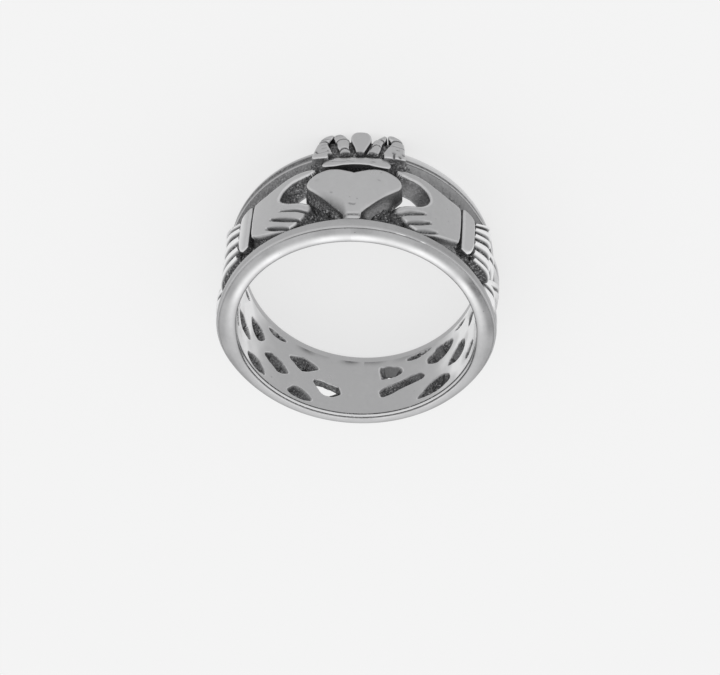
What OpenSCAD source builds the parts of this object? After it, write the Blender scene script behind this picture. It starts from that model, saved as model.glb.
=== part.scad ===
// A claddagh ring cast in one piece: a crowned heart held by two hands, cuffs at the
// wrists, and a woven, pierced shank between two plain rims. Lengths are in millimetres.
// The ring lies on its side: the crown side's face is on the ground and the bore points up.

/* [Band] */
// inner diameter of the finger hole
bore_d = 19.8; // [14:0.1:24]
// width of the band half way round
band_w = 9.4; // [5:0.1:14]
// slope of each face: the band is wider at the heart than at the back
face_tilt = 4; // [0:0.5:6]
// outer radius of the rims
rim_r = 11.25; // [10.8:0.05:13]
// how far the rims' outer circle lies towards the heart, so that the back is thinner
rim_shift = 0.45; // [0:0.05:0.6]
// how much smaller the far rim is
far_less = 0.15; // [0:0.05:0.4]
// width of a rim half way round, from its face to its inner shoulder
rim_w = 1.05; // [0.6:0.05:2.5]
// slope of the shoulders: less than the faces', so the rims are narrower at the back
shoulder_tilt = 2.6; // [0:0.1:6]
// how far the rim's outer crease lies below the crown of its face
crease_drop = 0.2; // [0.05:0.05:0.6]
// rounding of the outer crease of the far rim
far_round = 0.45; // [0.2:0.05:0.8]
// height of the rounding at the edge of the bore
bore_round = 0.25; // [0.1:0.05:0.8]
// outer radius of the sunk ground behind the ornament
ground_r = 10.7; // [10.4:0.05:11.2]

/* [Woven shank] */
// highest radius of the strands at the sides of the ring
strand_r = 11.75; // [11:0.05:12.5]
// highest radius of the strands at the back
back_r = 10.95; // [10.6:0.05:12]
// width of one strand
strand_w = 2.7; // [1.5:0.1:4]
// length of a strand where it passes over another
over_len = 4.6; // [2:0.1:8]
// radius of the bend of a strand where it passes over another
over_bend = 6.5; // [5:0.1:12]
// lean of the strands to the run of the band
strand_lean = 36; // [20:1:50]
// ridges along one strand
strand_ridges = 3; // [2:1:5]
// depth of the grooves between the ridges
ridge_depth = 0.18; // [0.05:0.01:0.4]
// how much lower the edges of a strand are than its grooves
strand_edge = 0.12; // [0.02:0.01:0.4]
// distance between the rows of openings
row_gap = 2.0; // [1.4:0.1:3]
// offset of the middle row towards the near rim
row_shift = 0.45; // [-1:0.05:1]
// angle between openings of a row, on the right side
right_pitch = 26.8; // [20:0.1:36]
// angle between openings of a row, on the left side
left_pitch = 29.3; // [20:0.1:36]
// half angle of the plain piece at the back
plain_half = 10; // [0:0.5:20]
// radius of the plain piece at the back
plain_r = 10.8; // [10.6:0.05:11.6]

/* [Ridged ends of the strands] */
// angle from the heart where the ridges leave the cuff
fan_from = 55; // [50:1:65]
// angle through which the ridges run
fan_run = 24; // [10:1:40]
// lean of the ridges to the run of the band
fan_lean = 27; // [0:1:40]
// width of one ridge
fan_w = 1.25; // [0.6:0.05:2]
// number of ridges at each cuff
fan_ridges = 5; // [2:1:6]
// depth between two ridges
fan_depth = 0.28; // [0.1:0.02:0.6]
// radius of the bend of the ridges
fan_bend = 10.85; // [8:0.05:12]
// how far the ridges lie towards the far rim
fan_rise = 0.85; // [0:0.05:1.5]

/* [Heart] */
// full width of the heart
heart_w = 7.8; // [4:0.1:10]
// length of the heart from the tops of its lobes to its point
heart_l = 5.9; // [4:0.1:8]
// how far the lobes' tops lie from the band's middle, towards the crown
heart_top = 1.1; // [0:0.05:2]
// highest radius of the heart
heart_r = 12.85; // [12:0.05:14]
// radius of the heart's rounded top
heart_dome = 8.7; // [6:0.1:20]
// how far the highest place of the heart lies towards its point
heart_mid = 0.3; // [-1:0.05:1]

/* [Crown] */
// half angle of the bar below the crown
bar_half = 12.6; // [8:0.1:20]
// width of the bar
bar_w = 0.95; // [0.4:0.05:1.6]
// distance of the bar's middle from the band's middle
bar_at = 2.0; // [1:0.05:4]
// outer radius of the bar
bar_r = 12.5; // [11.5:0.05:13.5]
// height of the slope along the bar's edges
bar_edge = 0.15; // [0.05:0.01:0.4]
// outer radius of the points
crown_r = 12.85; // [12:0.05:14]
// half width of the crown
crown_half = 4.15; // [2:0.05:6]
// distance of the points' feet from the band's middle
crown_foot = 2.3; // [1:0.05:4]
// length of the longest point
crown_l = 3.3; // [1:0.05:5]

/* [Hands and cuffs] */
// angle from the heart's middle to the wrist
wrist = 48.5; // [40:0.5:60]
// half height of the space for a hand between the rims
hand_h = 4.5; // [3:0.1:6]
// radius of the rounded surface of the hands
hand_dome = 10.43; // [9:0.01:14]
// how far that surface's axis lies towards the heart
hand_shift = 1.93; // [0:0.01:4]
// how much lower the hands are beside the rims
hand_drop = 0.55; // [0:0.01:1]
// depth of the grooves between the fingers
groove_depth = 0.45; // [0.1:0.05:0.9]
// width of those grooves
groove_w = 0.5; // [0.2:0.05:1]
// width of a cuff along the band
cuff_w = 1.7; // [0.8:0.1:3]
// height of a cuff between the rims
cuff_h = 5.3; // [3:0.1:7]
// outer radius of a cuff
cuff_r = 11.65; // [11:0.05:12.5]
// rounding of a cuff's corners
cuff_round = 0.55; // [0.1:0.05:0.8]

/* [Hidden] */
silver = [0.77, 0.78, 0.79];
bore_r = bore_d / 2;
half_w = band_w / 2;
// height of the bore's middle above the ground
rest = half_w * cos(face_tilt);
// how far the crown and the back reach from the bore's middle, and half way between them
reach_crown = crown_r * cos(face_tilt) + (half_w + crown_r * tan(face_tilt)) * sin(face_tilt);
reach_back = (rim_r - rim_shift - half_w * sin(face_tilt)) * cos(2 * face_tilt)
    + (rest - crease_drop) * sin(2 * face_tilt);
middle_y = (reach_crown - reach_back) / 2;
far = 5 * heart_r;
// radius from which every raised piece starts, inside the wall of the band
root_r = bore_r * 0.95;
cuff_at = wrist + 1 + cuff_w / cuff_r * 90 / PI;
hand_mid = wrist * 0.68;
pocket_mid = wrist * 0.45;
// how far the strands reach into the rims
tuck = 0.06;
// angles from the back between which the strands grow lower
slim_from = 85;
slim_to = 50;

// Rows of openings, counted from the middle row towards the near rim. Angles are in
// pitches from the back, lengths in pitches and heights in row gaps.
// [angle, row, length, height, lean]
RIGHT_OPENINGS = [
    [0.55, -1.00, 0.46, 0.66, 0],
    [1.57, -0.98, 0.64, 0.82, 4],
    [2.52, -1.08, 0.50, 0.64, 0],
    [0.73, 0.02, 0.84, 0.74, -8],
    [2.05, -0.08, 0.54, 0.92, -8],
    [3.03, 0.00, 0.50, 0.80, 0],
    [1.46, 1.00, 0.68, 0.66, -6],
    [2.54, 0.80, 0.44, 0.84, -30],
    [1.09, -1.62, 0.52, 0.42, 3],
    [2.13, -1.88, 0.44, 0.30, -5]
];
LEFT_OPENINGS = [
    [0.56, 0.15, 0.42, 0.96, 0],
    [1.58, 0.12, 0.52, 0.86, 0],
    [2.58, 0.22, 0.56, 0.92, 0],
    [1.00, -0.90, 0.56, 0.86, -6],
    [2.11, -0.78, 0.42, 0.92, 0],
    [3.08, -0.95, 0.44, 0.80, 0],
    [1.06, 1.00, 0.52, 0.74, 0],
    [2.08, 1.20, 0.50, 0.56, -12],
    [3.08, 1.05, 0.44, 0.66, 0],
    [1.60, -1.68, 0.40, 0.40, 0],
    [2.59, -1.68, 0.32, 0.36, 0]
];
// Places where one strand passes over another.
// [angle in pitches from the back, row, direction of the lean]
RIGHT_OVERS = [
    [0.64, 0, -1], [1.53, 0, -1], [2.53, 0, -1], [3.50, 0, -1],
    [1.03, -1, 1], [2.03, -1, 1], [3.03, -1, 1],
    [1.03, 1, 1], [2.03, 1, 1], [3.03, 1, 1]
];
LEFT_OVERS = [
    [1.07, 0, -1], [2.07, 0, -1], [3.07, 0, -1],
    [0.57, -1, 1], [1.57, -1, 1], [2.57, -1, 1],
    [0.57, 1, 1], [1.57, 1, 1], [2.57, 1, 1]
];
// Outline of one side of the heart from the cleft to the point.
// [share of the half width, share of the length from the lobe's top]
HEART = [
    [0.00, 0.135], [0.16, 0.085], [0.34, 0.030], [0.52, 0.000], [0.70, 0.015],
    [0.86, 0.075], [0.965, 0.165], [1.00, 0.275], [0.975, 0.380], [0.90, 0.490],
    [0.76, 0.610], [0.56, 0.735], [0.34, 0.865], [0.15, 0.965], [0.00, 1.000]
];
// Outline of a hand, from the wrist round the back of the hand, thumb and fingers.
// [share of the angle to the wrist, share of the half height]
HAND = [
    [1.00, -0.36], [0.965, -0.42], [0.83, -0.35], [0.62, -0.455], [0.46, -0.475],
    [0.34, -0.455], [0.325, -0.40], [0.36, -0.355], [0.50, -0.385], [0.59, -0.27],
    [0.625, -0.08], [0.625, 0.12], [0.55, 0.29], [0.42, 0.43], [0.30, 0.58],
    [0.24, 0.78], [0.30, 0.93], [0.50, 0.955], [0.70, 0.86], [0.86, 0.70],
    [0.965, 0.55]
];
// Opening between the thumb, the fingers and the heart.
// [share of the angle to the wrist, share of the half height]
POCKET = [
    [0.20, -0.35], [0.36, -0.36], [0.50, -0.39], [0.59, -0.27], [0.63, -0.08],
    [0.62, 0.12], [0.55, 0.28], [0.42, 0.42], [0.28, 0.60], [0.20, 0.30]
];
// Grooves between the fingers.
// [middle, share of the half height, length in degrees, lean]
GROOVES = [
    [0.44, 0.57, 17, 24], [0.57, 0.66, 13, 34], [0.66, 0.76, 8, 34]
];
// Points of the crown, as shares of its half width and of the longest point.
// [middle at the foot, middle at the tip, half width at the foot, at the tip, length]
POINTS = [
    [-0.64, -0.60, 0.27, 0.17, 0.72],
    [-0.23, -0.31, 0.10, 0.135, 0.86],
    [0.07, 0.07, 0.08, 0.19, 1.00],
    [0.29, 0.40, 0.13, 0.12, 0.80],
    [0.72, 0.77, 0.21, 0.16, 0.82]
];

// position on the band at an angle from the heart, facing outwards along +Y
module at_angle(a) rotate([0, 0, -a]) children();

// a flat outline, across and along the bore, raised outwards from inside the wall
module raised(h = heart_r / 2)
    translate([0, root_r + h, 0]) rotate([90, 0, 0]) linear_extrude(h) children();

// everything beyond a face plane of the band: side 1 is the near face, -1 the far one
module beyond_face(side)
    rotate([side * face_tilt, 0, 0])
        translate([-far, -far, side > 0 ? rest : -rest - far]) cube([2 * far, 2 * far, far]);

// everything beyond a shoulder plane, moved towards its face by more
module beyond_shoulder(side, more) {
    edge = (half_w - rim_w) * cos(shoulder_tilt) + more;
    rotate([side * shoulder_tilt, 0, 0])
        translate([-far, -far, side > 0 ? edge : -edge - far]) cube([2 * far, 2 * far, far]);
}

// turned about the axis of one face, which leans a little and meets the bore's axis
module about_face(side, shift)
    rotate([side * face_tilt, 0, 0])
        translate([0, shift + half_w * sin(face_tilt), side * rest])
        rotate([side > 0 ? 0 : 180, 0, 37]) rotate_extrude() children();

// one rim: flat outside, a crease, and a rounded polished face
module rim(side) {
    drop = side > 0 ? crease_drop : far_round;
    r = side > 0 ? rim_r : rim_r - far_less;
    intersection() {
        about_face(side, rim_shift)
            polygon([
                [root_r, -rim_w * 2], [r, -rim_w * 2], [r, -drop],
                [r - drop * 0.15, -drop * 0.55], [r - drop * 0.5, -drop * 0.15],
                [r - drop * 1.5, drop * 0.15], [root_r, drop * 0.15]
            ]);
        beyond_shoulder(side, 0);
    }
}

// rounding cut away at the edge of the bore
module bore_mouth(side)
    about_face(side, 0)
        polygon([
            [0, band_w / 8], [bore_r + bore_round, band_w / 8], [bore_r + bore_round, bore_round * 0.12],
            [bore_r + bore_round * 0.85, -bore_round * 0.02],
            [bore_r + bore_round * 0.45, -bore_round * 0.32],
            [bore_r - bore_round * 0.16, -bore_round], [0, -bore_round]
        ]);

// thin wall behind the ornament
module ground()
    translate([0, rim_shift * 0.5, -band_w]) rotate(66) cylinder(r = ground_r, h = 2 * band_w, $fn = 180);

// plain piece at the back
module plain_back()
    translate([0, rim_shift, 0]) rotate([0, 0, -90 - plain_half])
        rotate_extrude(angle = 2 * plain_half)
            polygon([[root_r, -half_w], [plain_r, -half_w], [plain_r, half_w], [root_r, half_w]]);

// leaf-shaped opening through the wall
module opening(a, z, len, high, lean)
    at_angle(a) translate([0, -bore_r / 10, z]) raised() rotate(lean)
        polygon([for (i = [0:7]) let (k = i % 2 == 0 ? 1 : 0.9)
            [len / 2 * k * cos(i * 45), high / 2 * k * sin(i * 45)]]);

module openings(table, pitch, side)
    for (o = table)
        opening(side * (180 - o[0] * pitch), row_shift + o[1] * row_gap,
                o[2] * pitch * PI / 180 * bore_r, o[3] * row_gap, side * o[4]);

// cross-section of a strand: ridges with grooves between them
function strand_profile(r, w, n, deep, low) = concat(
    [[r - low, -w / 2], [r - deep - strand_edge, -w / 2]],
    [for (i = [1:2 * n - 1]) [i % 2 == 1 ? r : r - deep, -w / 2 + w * i / (2 * n)]],
    [[r - deep - strand_edge, w / 2], [r - low, w / 2]]);

// an arc along the band's surface that leans across it, with its top at radius top
module arc_strand(a, z, lean, top, bend, len, w, n, deep, low)
    at_angle(a) translate([0, top - bend, z])
        rotate([0, -lean, 0]) rotate([0, 0, 90 - len / bend * 90 / PI])
            rotate_extrude(angle = len / bend * 180 / PI)
                polygon(strand_profile(bend, w, n, deep, low));

// the strands are highest beside the hands and lie lower towards the back
function strand_top(back) =
    back_r + (strand_r - back_r) * max(0, min(1, (back - slim_to) / (slim_from - slim_to)));

module overs(table, pitch, side)
    for (o = table)
        arc_strand(side * (180 - o[0] * pitch), row_shift + o[1] * row_gap,
                   side * o[2] * strand_lean, strand_top(o[0] * pitch), over_bend, over_len,
                   strand_w, strand_ridges, ridge_depth,
                   strand_top(o[0] * pitch) - root_r);

// ridges that leave a cuff side by side and sink under the weave
module fan(side)
    for (i = [0:fan_ridges - 1])
        arc_strand(side * (fan_from + fan_run / 2),
                   (i - (fan_ridges - 1) / 2) * fan_w * 0.93 - fan_rise,
                   -side * (fan_lean - 3 * i), strand_r, fan_bend,
                   fan_run * PI / 180 * strand_r, fan_w, 1, fan_depth, strand_r - root_r);

// the heart: raised, rounded, and running down to the near rim at its point
module heart() {
    half = [for (p = HEART) [p[0] * heart_w / 2, p[1] * heart_l - heart_top]];
    n = len(half);
    intersection() {
        raised() polygon(concat(half, [for (i = [n - 2:-1:1]) [-half[i][0], half[i][1]]]));
        translate([0, heart_r - heart_dome, heart_mid]) sphere(heart_dome, $fn = 96);
    }
}

// the bar below the crown
module crown_bar()
    rotate([0, 0, 90 - bar_half]) rotate_extrude(angle = 2 * bar_half)
        polygon([
            [root_r, -bar_at - bar_w / 2], [bar_r - bar_edge, -bar_at - bar_w / 2],
            [bar_r, -bar_at - bar_w * 0.3], [bar_r, -bar_at + bar_w * 0.3],
            [bar_r - bar_edge, -bar_at + bar_w / 2], [root_r, -bar_at + bar_w / 2]
        ]);

// one point of the crown, rounded at its tip
module crown_point(p) {
    tip = p[3] * crown_half;
    end = crown_foot + p[4] * crown_l - tip * 0.8;
    raised() polygon(concat(
        [[(p[0] + p[2]) * crown_half, -crown_foot], [(p[0] - p[2]) * crown_half, -crown_foot]],
        [for (i = [0:6]) [p[1] * crown_half - tip * cos(i * 30),
                          -end - tip * 0.8 * sin(i * 30)]]));
}

module crown_points()
    intersection() {
        for (p = POINTS) crown_point(p);
        translate([0, 0, -2 * band_w]) cylinder(r = crown_r, h = 2 * band_w, $fn = 180);
    }

// radius at which the hands' rounded surface is met at an angle from the heart
function dome_at(a) =
    hand_shift * cos(a) + sqrt(hand_dome * hand_dome - pow(hand_shift * sin(a), 2));

// a table of angles and heights as a flat outline facing the direction mid
function flat(table, mid, r) = [for (p = table) [r * sin(p[0] * wrist - mid), p[1] * hand_h]];

// rounded surface of both hands
module hands_dome()
    translate([0, hand_shift, 0]) rotate_extrude()
        polygon([
            [0, -hand_h], [hand_dome - hand_drop, -hand_h],
            [hand_dome - hand_drop * 0.25, -hand_h * 0.5],
            [hand_dome, -hand_h * 0.15], [hand_dome, hand_h * 0.3],
            [hand_dome - hand_drop * 0.3, hand_h * 0.68],
            [hand_dome - hand_drop * 0.9, hand_h], [0, hand_h]
        ]);

// groove between two fingers, cut along the hand's surface
module finger_groove(g) {
    a = g[0] * wrist;
    r = dome_at(a);
    turn = atan2(r * sin(a), r * cos(a) - hand_shift);
    run = g[2] * r / hand_dome;
    translate([0, hand_shift, g[1] * hand_h]) at_angle(turn) rotate([0, g[3], 0])
        rotate([0, 0, 90 - run / 2]) rotate_extrude(angle = run)
            polygon([[hand_dome - groove_depth, 0], [hand_dome + groove_depth, -groove_w],
                     [hand_dome + groove_depth, groove_w]]);
}

// the right hand: back, thumb and four fingers
module hand()
    difference() {
        intersection() {
            at_angle(hand_mid) raised() polygon(flat(HAND, hand_mid, dome_at(hand_mid)));
            hands_dome();
        }
        for (g = GROOVES) finger_groove(g);
    }

// opening between thumb, fingers and heart, cut right through the wall
module pocket()
    at_angle(pocket_mid) translate([0, -bore_r / 10, 0]) raised()
        polygon(flat(POCKET, pocket_mid, dome_at(pocket_mid)));

// bar across the wrist
module cuff(side)
    intersection() {
        at_angle(side * cuff_at) raised()
            polygon([for (sy = [1, -1]) for (i = [0:3]) let (a = (sy > 0 ? 0 : 180) + i * 60,
                         c = cos(a) > 0.01 ? 1 : cos(a) < -0.01 ? -1 : 0)
                [c * (cuff_w / 2 - cuff_round) + cuff_round * cos(a),
                 sy * (cuff_h / 2 - cuff_round) + cuff_round * sin(a)]]);
        translate([0, 0, -band_w]) cylinder(r = cuff_r, h = 2 * band_w, $fn = 180);
    }

module ornament() {
    difference() {
        union() {
            ground();
            hand();
            mirror([1, 0, 0]) hand();
        }
        pocket();
        mirror([1, 0, 0]) pocket();
    }
    difference() {
        union() {
            overs(RIGHT_OVERS, right_pitch, 1);
            overs(LEFT_OVERS, left_pitch, -1);
            fan(1);
            fan(-1);
        }
        beyond_shoulder(1, tuck);
        beyond_shoulder(-1, tuck);
    }
    cuff(1);
    cuff(-1);
    heart();
    crown_bar();
    crown_points();
}

// the whole ring, about its own bore
module band()
    difference() {
        union() {
            difference() {
                ornament();
                openings(RIGHT_OPENINGS, right_pitch, 1);
                openings(LEFT_OPENINGS, left_pitch, -1);
            }
            plain_back();
            rim(1);
            rim(-1);
        }
        translate([0, 0, -far]) rotate(21) cylinder(r = bore_r, h = 2 * far, $fn = 180);
        bore_mouth(1);
        bore_mouth(-1);
        beyond_face(1);
        beyond_face(-1);
    }

// lying on the far face, which is on the ground
module ring()
    color(silver) translate([0, -middle_y, rest]) rotate([face_tilt, 0, 0]) band();

ring();
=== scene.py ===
"""A cast silver claddagh ring: a crowned heart held by hands, cuffs at the wrists, and a woven, pierced
shank between plain rims. It lies on its side, with the bore upright. Shapes are worked out in
millimetres about the bore: an angle from the heart, a radius, and a height z along the bore, positive
towards the near rim. They are then turned and lifted to where the ring rests, in metres."""

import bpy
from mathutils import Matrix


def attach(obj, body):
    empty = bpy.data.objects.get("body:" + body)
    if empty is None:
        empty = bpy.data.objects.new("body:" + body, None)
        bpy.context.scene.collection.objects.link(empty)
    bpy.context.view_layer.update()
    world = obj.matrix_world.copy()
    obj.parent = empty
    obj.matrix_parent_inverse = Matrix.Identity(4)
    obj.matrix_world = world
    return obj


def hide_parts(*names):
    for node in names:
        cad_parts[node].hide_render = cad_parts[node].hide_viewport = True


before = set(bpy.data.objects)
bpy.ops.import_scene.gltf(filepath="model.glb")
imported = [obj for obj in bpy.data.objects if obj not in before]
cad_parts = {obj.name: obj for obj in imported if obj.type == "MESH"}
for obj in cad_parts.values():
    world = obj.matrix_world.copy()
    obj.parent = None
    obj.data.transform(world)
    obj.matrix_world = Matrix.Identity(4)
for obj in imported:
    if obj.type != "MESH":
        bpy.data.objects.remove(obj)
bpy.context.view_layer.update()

import functools
import math
from types import SimpleNamespace

import bpy
import numpy as np
from bpy.props import FloatProperty, FloatVectorProperty, PointerProperty
from mathutils import Matrix

bl_info = {
    "name": "Claddagh ring",
    "version": (1, 0, 0),
    "blender": (4, 5, 0),
    "location": "View3D > Sidebar > Ring",
    "description": "Builds a cast silver claddagh ring with a woven, pierced shank",
    "category": "Add Mesh",
}

MM = 0.001


def length(name, text, mm):
    return FloatProperty(name=name, description=text, default=mm * MM, unit="LENGTH",
                         subtype="DISTANCE", precision=5)


def degrees(name, text, deg):
    return FloatProperty(name=name, description=text, default=math.radians(deg), unit="ROTATION",
                         subtype="ANGLE")


def colour(name, text, rgb):
    return FloatVectorProperty(name=name, description=text, default=rgb, subtype="COLOR", size=3,
                               min=0.0, max=1.0)


def amount(name, text, value):
    return FloatProperty(name=name, description=text, default=value, min=0.0, max=1.0,
                         subtype="FACTOR")


class RingSizes(bpy.types.PropertyGroup):
    bore_d: length("Finger hole", "Inner diameter of the finger hole", 19.8)
    band_w: length("Band width", "Width of the band half way round", 9.4)
    face_tilt: degrees("Face slope", "Slope of each face: wider at the heart than at the back", 4)
    rim_r: length("Rim radius", "Outer radius of the near rim", 11.25)
    far_less: length("Far rim less", "How much smaller the far rim is", 0.15)
    rim_w: length("Far rim width", "Width of the far rim from its face to its shoulder", 1.05)
    near_rim_w: length("Near rim width", "Width of the near rim from its face to its shoulder", 0.68)
    rim_shift: length("Rim offset", "How far the rims' circle lies towards the heart", 0.45)
    ground_r: length("Ground radius", "Outer radius of the sunk ground", 10.7)
    strand_r: length("Strand radius", "Highest radius of the strands at the sides", 11.72)
    back_r: length("Back radius", "Highest radius of the strands at the back", 10.95)
    strand_w: length("Strand width", "Width of one strand", 2.0)
    ridge_depth: length("Ridge depth", "Depth of the groove along a strand", 0.2)
    row_gap: length("Row distance", "Distance between the rows of openings", 2.0)
    row_shift: length("Row offset", "Offset of the middle row towards the near rim", 0.45)
    plain_half: degrees("Plain piece", "Half angle of the plain piece at the back", 10)
    plain_r: length("Plain radius", "Outer radius of the plain piece at the back", 10.8)
    wrist: degrees("Wrist", "Angle from the heart's middle to the wrist", 48.5)
    hand_h: length("Hand height", "Half height of the space for a hand", 4.5)
    cuff_at: degrees("Cuff place", "Angle from the heart's middle to the cuffs' middle", 54)
    cuff_r: length("Cuff radius", "Outer radius of a cuff", 11.47)
    heart_w: length("Heart width", "Full width of the heart", 7.8)
    heart_l: length("Heart length", "Length of the heart from its lobes to its point", 5.9)
    heart_top: length("Heart place", "How far the lobes lie towards the crown", 1.1)
    heart_r: length("Heart radius", "Highest radius of the heart", 12.84)
    crown_r: length("Crown radius", "Outer radius of the crown's points", 12.84)
    bar_r: length("Bar radius", "Outer radius of the bar below the crown", 12.5)


class RingFinish(bpy.types.PropertyGroup):
    silver: colour("Silver", "Colour of the satin silver", (0.47, 0.47, 0.475))
    # This colour is mixed in for the patina and for painted shade alike.
    tarnish_and_shade: colour("Tarnish", "Colour of the dark sunk ground", (0.07, 0.07, 0.072))
    satin: amount("Satin", "Roughness of the polished silver", 0.3)
    floor: colour("Floor", "Colour of the floor", (0.88, 0.88, 0.88))


MID_MM = 0.18             # millimetres for each degree half way through the wall
BORE_MM = 0.1728          # the same along the bore
HAND_MM = 0.2094          # the same along the hands' surface
FAN_MM = 0.2045           # the same along the ridged strands
ROOT_R = 10.35            # radius within the wall where the rims and the raised parts end
WEAVE_R = 11.3            # radius half way up the woven strands
SHOULDER_R = 11.2         # radius of the rims' inner shoulders
SHOULDER_FALL = 0.0454    # how steeply the shoulders slope
POCKET_LEAN = 0.3         # how much wider the openings beside the heart are in the bore than outside

# Outlines and places about the bore: x, z and depths in millimetres, angles in degrees, except where
# shares of a named size are told.
# one side of the heart from the cleft to the point: [share of half width, of length from the lobe's top]
HEART = [[0.00, 0.135], [0.16, 0.085], [0.34, 0.030], [0.52, 0.000], [0.70, 0.015],
         [0.86, 0.075], [0.965, 0.165], [0.99, 0.25], [0.945, 0.33], [0.82, 0.43],
         [0.66, 0.535], [0.51, 0.635], [0.375, 0.725], [0.27, 0.79], [0.19, 0.85], [0.165, 0.91],
         [0.00, 0.925]]
# marks on the heart: [x, z, x, z, bow, width, depth] of a cut
HEART_MARKS = [[-1.77, 1.98, -1.74, 2.03, 0, 0.09, 0.07], [2.02, 0.5, 2.1, 0.52, 0, 0.09, 0.05],
               [-0.22, 3.2, 0.2, 3.24, 0.02, 0.07, 0.10], [-3.1, 0.22, -2.95, 0.15, 0, 0.12, 0.025]]
# a hand: [share of the angle to the wrist, of half its height], round back of hand, thumb and fingers
HAND = [[0.985, -0.36], [0.955, -0.42], [0.83, -0.37], [0.70, -0.40], [0.62, -0.45], [0.50, -0.50],
        [0.40, -0.49], [0.345, -0.46], [0.33, -0.41], [0.37, -0.35], [0.45, -0.22], [0.51, -0.18],
        [0.55, -0.10], [0.575, -0.03], [0.57, 0.06], [0.51, 0.18], [0.42, 0.32], [0.365, 0.47],
        [0.345, 0.62], [0.37, 0.69], [0.395, 0.73], [0.40, 0.79], [0.43, 0.84], [0.46, 0.87],
        [0.49, 0.925], [0.56, 0.95], [0.70, 0.87], [0.86, 0.71], [0.955, 0.55], [0.985, 0.42]]
# the opening between thumb, fingers and heart, in the same shares
POCKET = [[0.20, -0.33], [0.36, -0.335], [0.45, -0.30], [0.53, -0.27], [0.60, -0.17], [0.635, -0.03],
          [0.63, 0.11], [0.555, 0.285], [0.44, 0.42], [0.33, 0.49], [0.20, 0.30]]
# grooves between the fingers by side: [angle, z, angle, z, bow, width, depth]
GROOVES = {1: [[29.0, 2.15, 15.5, 3.50, 0.05, 0.22, 0.45], [32.0, 2.80, 21.0, 4.05, 0, 0.21, 0.34],
               [35.5, 3.40, 27.0, 4.25, 0, 0.20, 0.30]],
           -1: [[30.4, 1.82, 14.5, 3.50, 0.03, 0.12, 0.48], [35.0, 2.12, 21.0, 3.92, 0, 0.19, 0.50],
                [37.2, 2.84, 26.6, 4.20, 0, 0.19, 0.50]]}
# openings in the bore, by name: how much narrower each is outside, and its outline as [angle, z]
OPENINGS = {
    "right_1": (0.52, [[171.5, -2.35], [163, -2.02], [160, -1.4], [162.5, -0.92], [170, -0.75],
                       [171.5, -1.3]]),
    "right_2": (0.40, [[171, 0.65], [165, 0.08], [161, -0.1], [155, -0.4], [150, -0.3], [148, 0.45],
                       [156, 0.7], [161, 0.95], [167, 1.42], [170.5, 1.5]]),
    "right_3": (0.46, [[151, 2.92], [148, 2.3], [144, 1.75], [138, 1.5], [132, 2.0], [130.5, 2.85],
                       [137, 3.15], [144, 3.15]]),
    "right_4": (0.15, [[158, -2.85], [151, -3.02], [144, -2.98], [147, -2.7], [152, -2.42], [157, -2.5]]),
    "right_5": (0.36, [[147, -1.6], [143, -2.1], [141, -2.5], [136, -2.55], [130, -2.3], [129.5, -1.5],
                       [134, -0.85], [140, -0.56], [145, -0.97]]),
    "right_6": (0.25, [[132.5, 0.85], [128, -0.05], [123, -0.7], [118.5, -0.3], [118, 0.7], [121, 1.3],
                       [127, 1.3]]),
    "right_7": (0.20, [[117, 2.6], [115, 2.1], [111, 1.75], [106.5, 2.1], [106, 2.6], [110, 2.85],
                       [114, 2.95]]),
    "right_8": (0.20, [[115, -1.3], [112, -1.0], [108, -1.5], [107.5, -2.2], [111, -2.4], [114.5, -2.0]]),
    "right_9": (0.20, [[104, 0.4], [100, -0.2], [95, -0.1], [93, 0.5], [96, 1.1], [101, 1.1]]),
    "right_10": (0.10, [[128, -2.9], [123, -3.15], [118, -3.0], [121, -2.75], [125, -2.7]]),
    "left_1": (0.20, [[-85, 2.6], [-89, 2.05], [-94, 2.1], [-97, 2.6], [-93, 3.1], [-88, 3.1]]),
    "left_2": (0.25, [[-94, 1.15], [-99, 0.4], [-104, 0.15], [-110, 0.5], [-113, 1.15], [-109, 1.55],
                      [-101, 1.75]]),
    "left_3": (0.25, [[-111.5, -1.6], [-116, -1.75], [-121, -1.75], [-124.5, -1.1], [-123, -0.5],
                      [-119, 0.0], [-115, -0.25], [-112.5, -0.8]]),
    "left_4": (0.10, [[-126.5, -2.85], [-130, -3.05], [-135, -3.05], [-138.5, -2.9], [-137, -2.6],
                      [-131, -2.45], [-128, -2.55]]),
    "left_5": (0.42, [[-111.5, 3.0], [-117, 2.4], [-122, 2.25], [-126.5, 2.75], [-127, 3.2], [-122, 3.5],
                      [-115, 3.5]]),
    "left_6": (0.46, [[-125.5, 0.75], [-130, -0.1], [-135, -0.1], [-139, 0.25], [-141.5, 0.9], [-136, 1.5],
                      [-131, 1.22]]),
    "left_7": (0.52, [[-141.5, -1.35], [-147, -1.86], [-152, -1.94], [-157.5, -1.35], [-154, -0.75],
                      [-149, -0.3], [-145, -0.72]]),
    "left_8": (0.48, [[-142, 2.95], [-145, 2.1], [-149, 1.92], [-153, 2.3], [-155.5, 2.85], [-152, 3.2],
                      [-146, 3.25]]),
    "left_9": (0.08, [[-155.5, 0.35], [-159, 0.02], [-163, 0.2], [-168, 0.45], [-169.5, 1.2], [-166, 1.72],
                       [-161, 1.72], [-158, 1.1]]),
    "left_10": (0.20, [[-85, -1.4], [-89, -2.0], [-94, -1.9], [-96, -1.3], [-92, -0.8], [-87, -0.85]]),
    "left_11": (0.15, [[-100, -2.9], [-104, -3.15], [-108, -2.95], [-105, -2.6], [-101, -2.6]])}
PITCH = {1: 26.8, -1: 29.3}          # angle between openings of a row
FIRST = {1: 0.53, -1: 0.07}          # pitches from the back to the first crossing of the middle row
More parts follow.
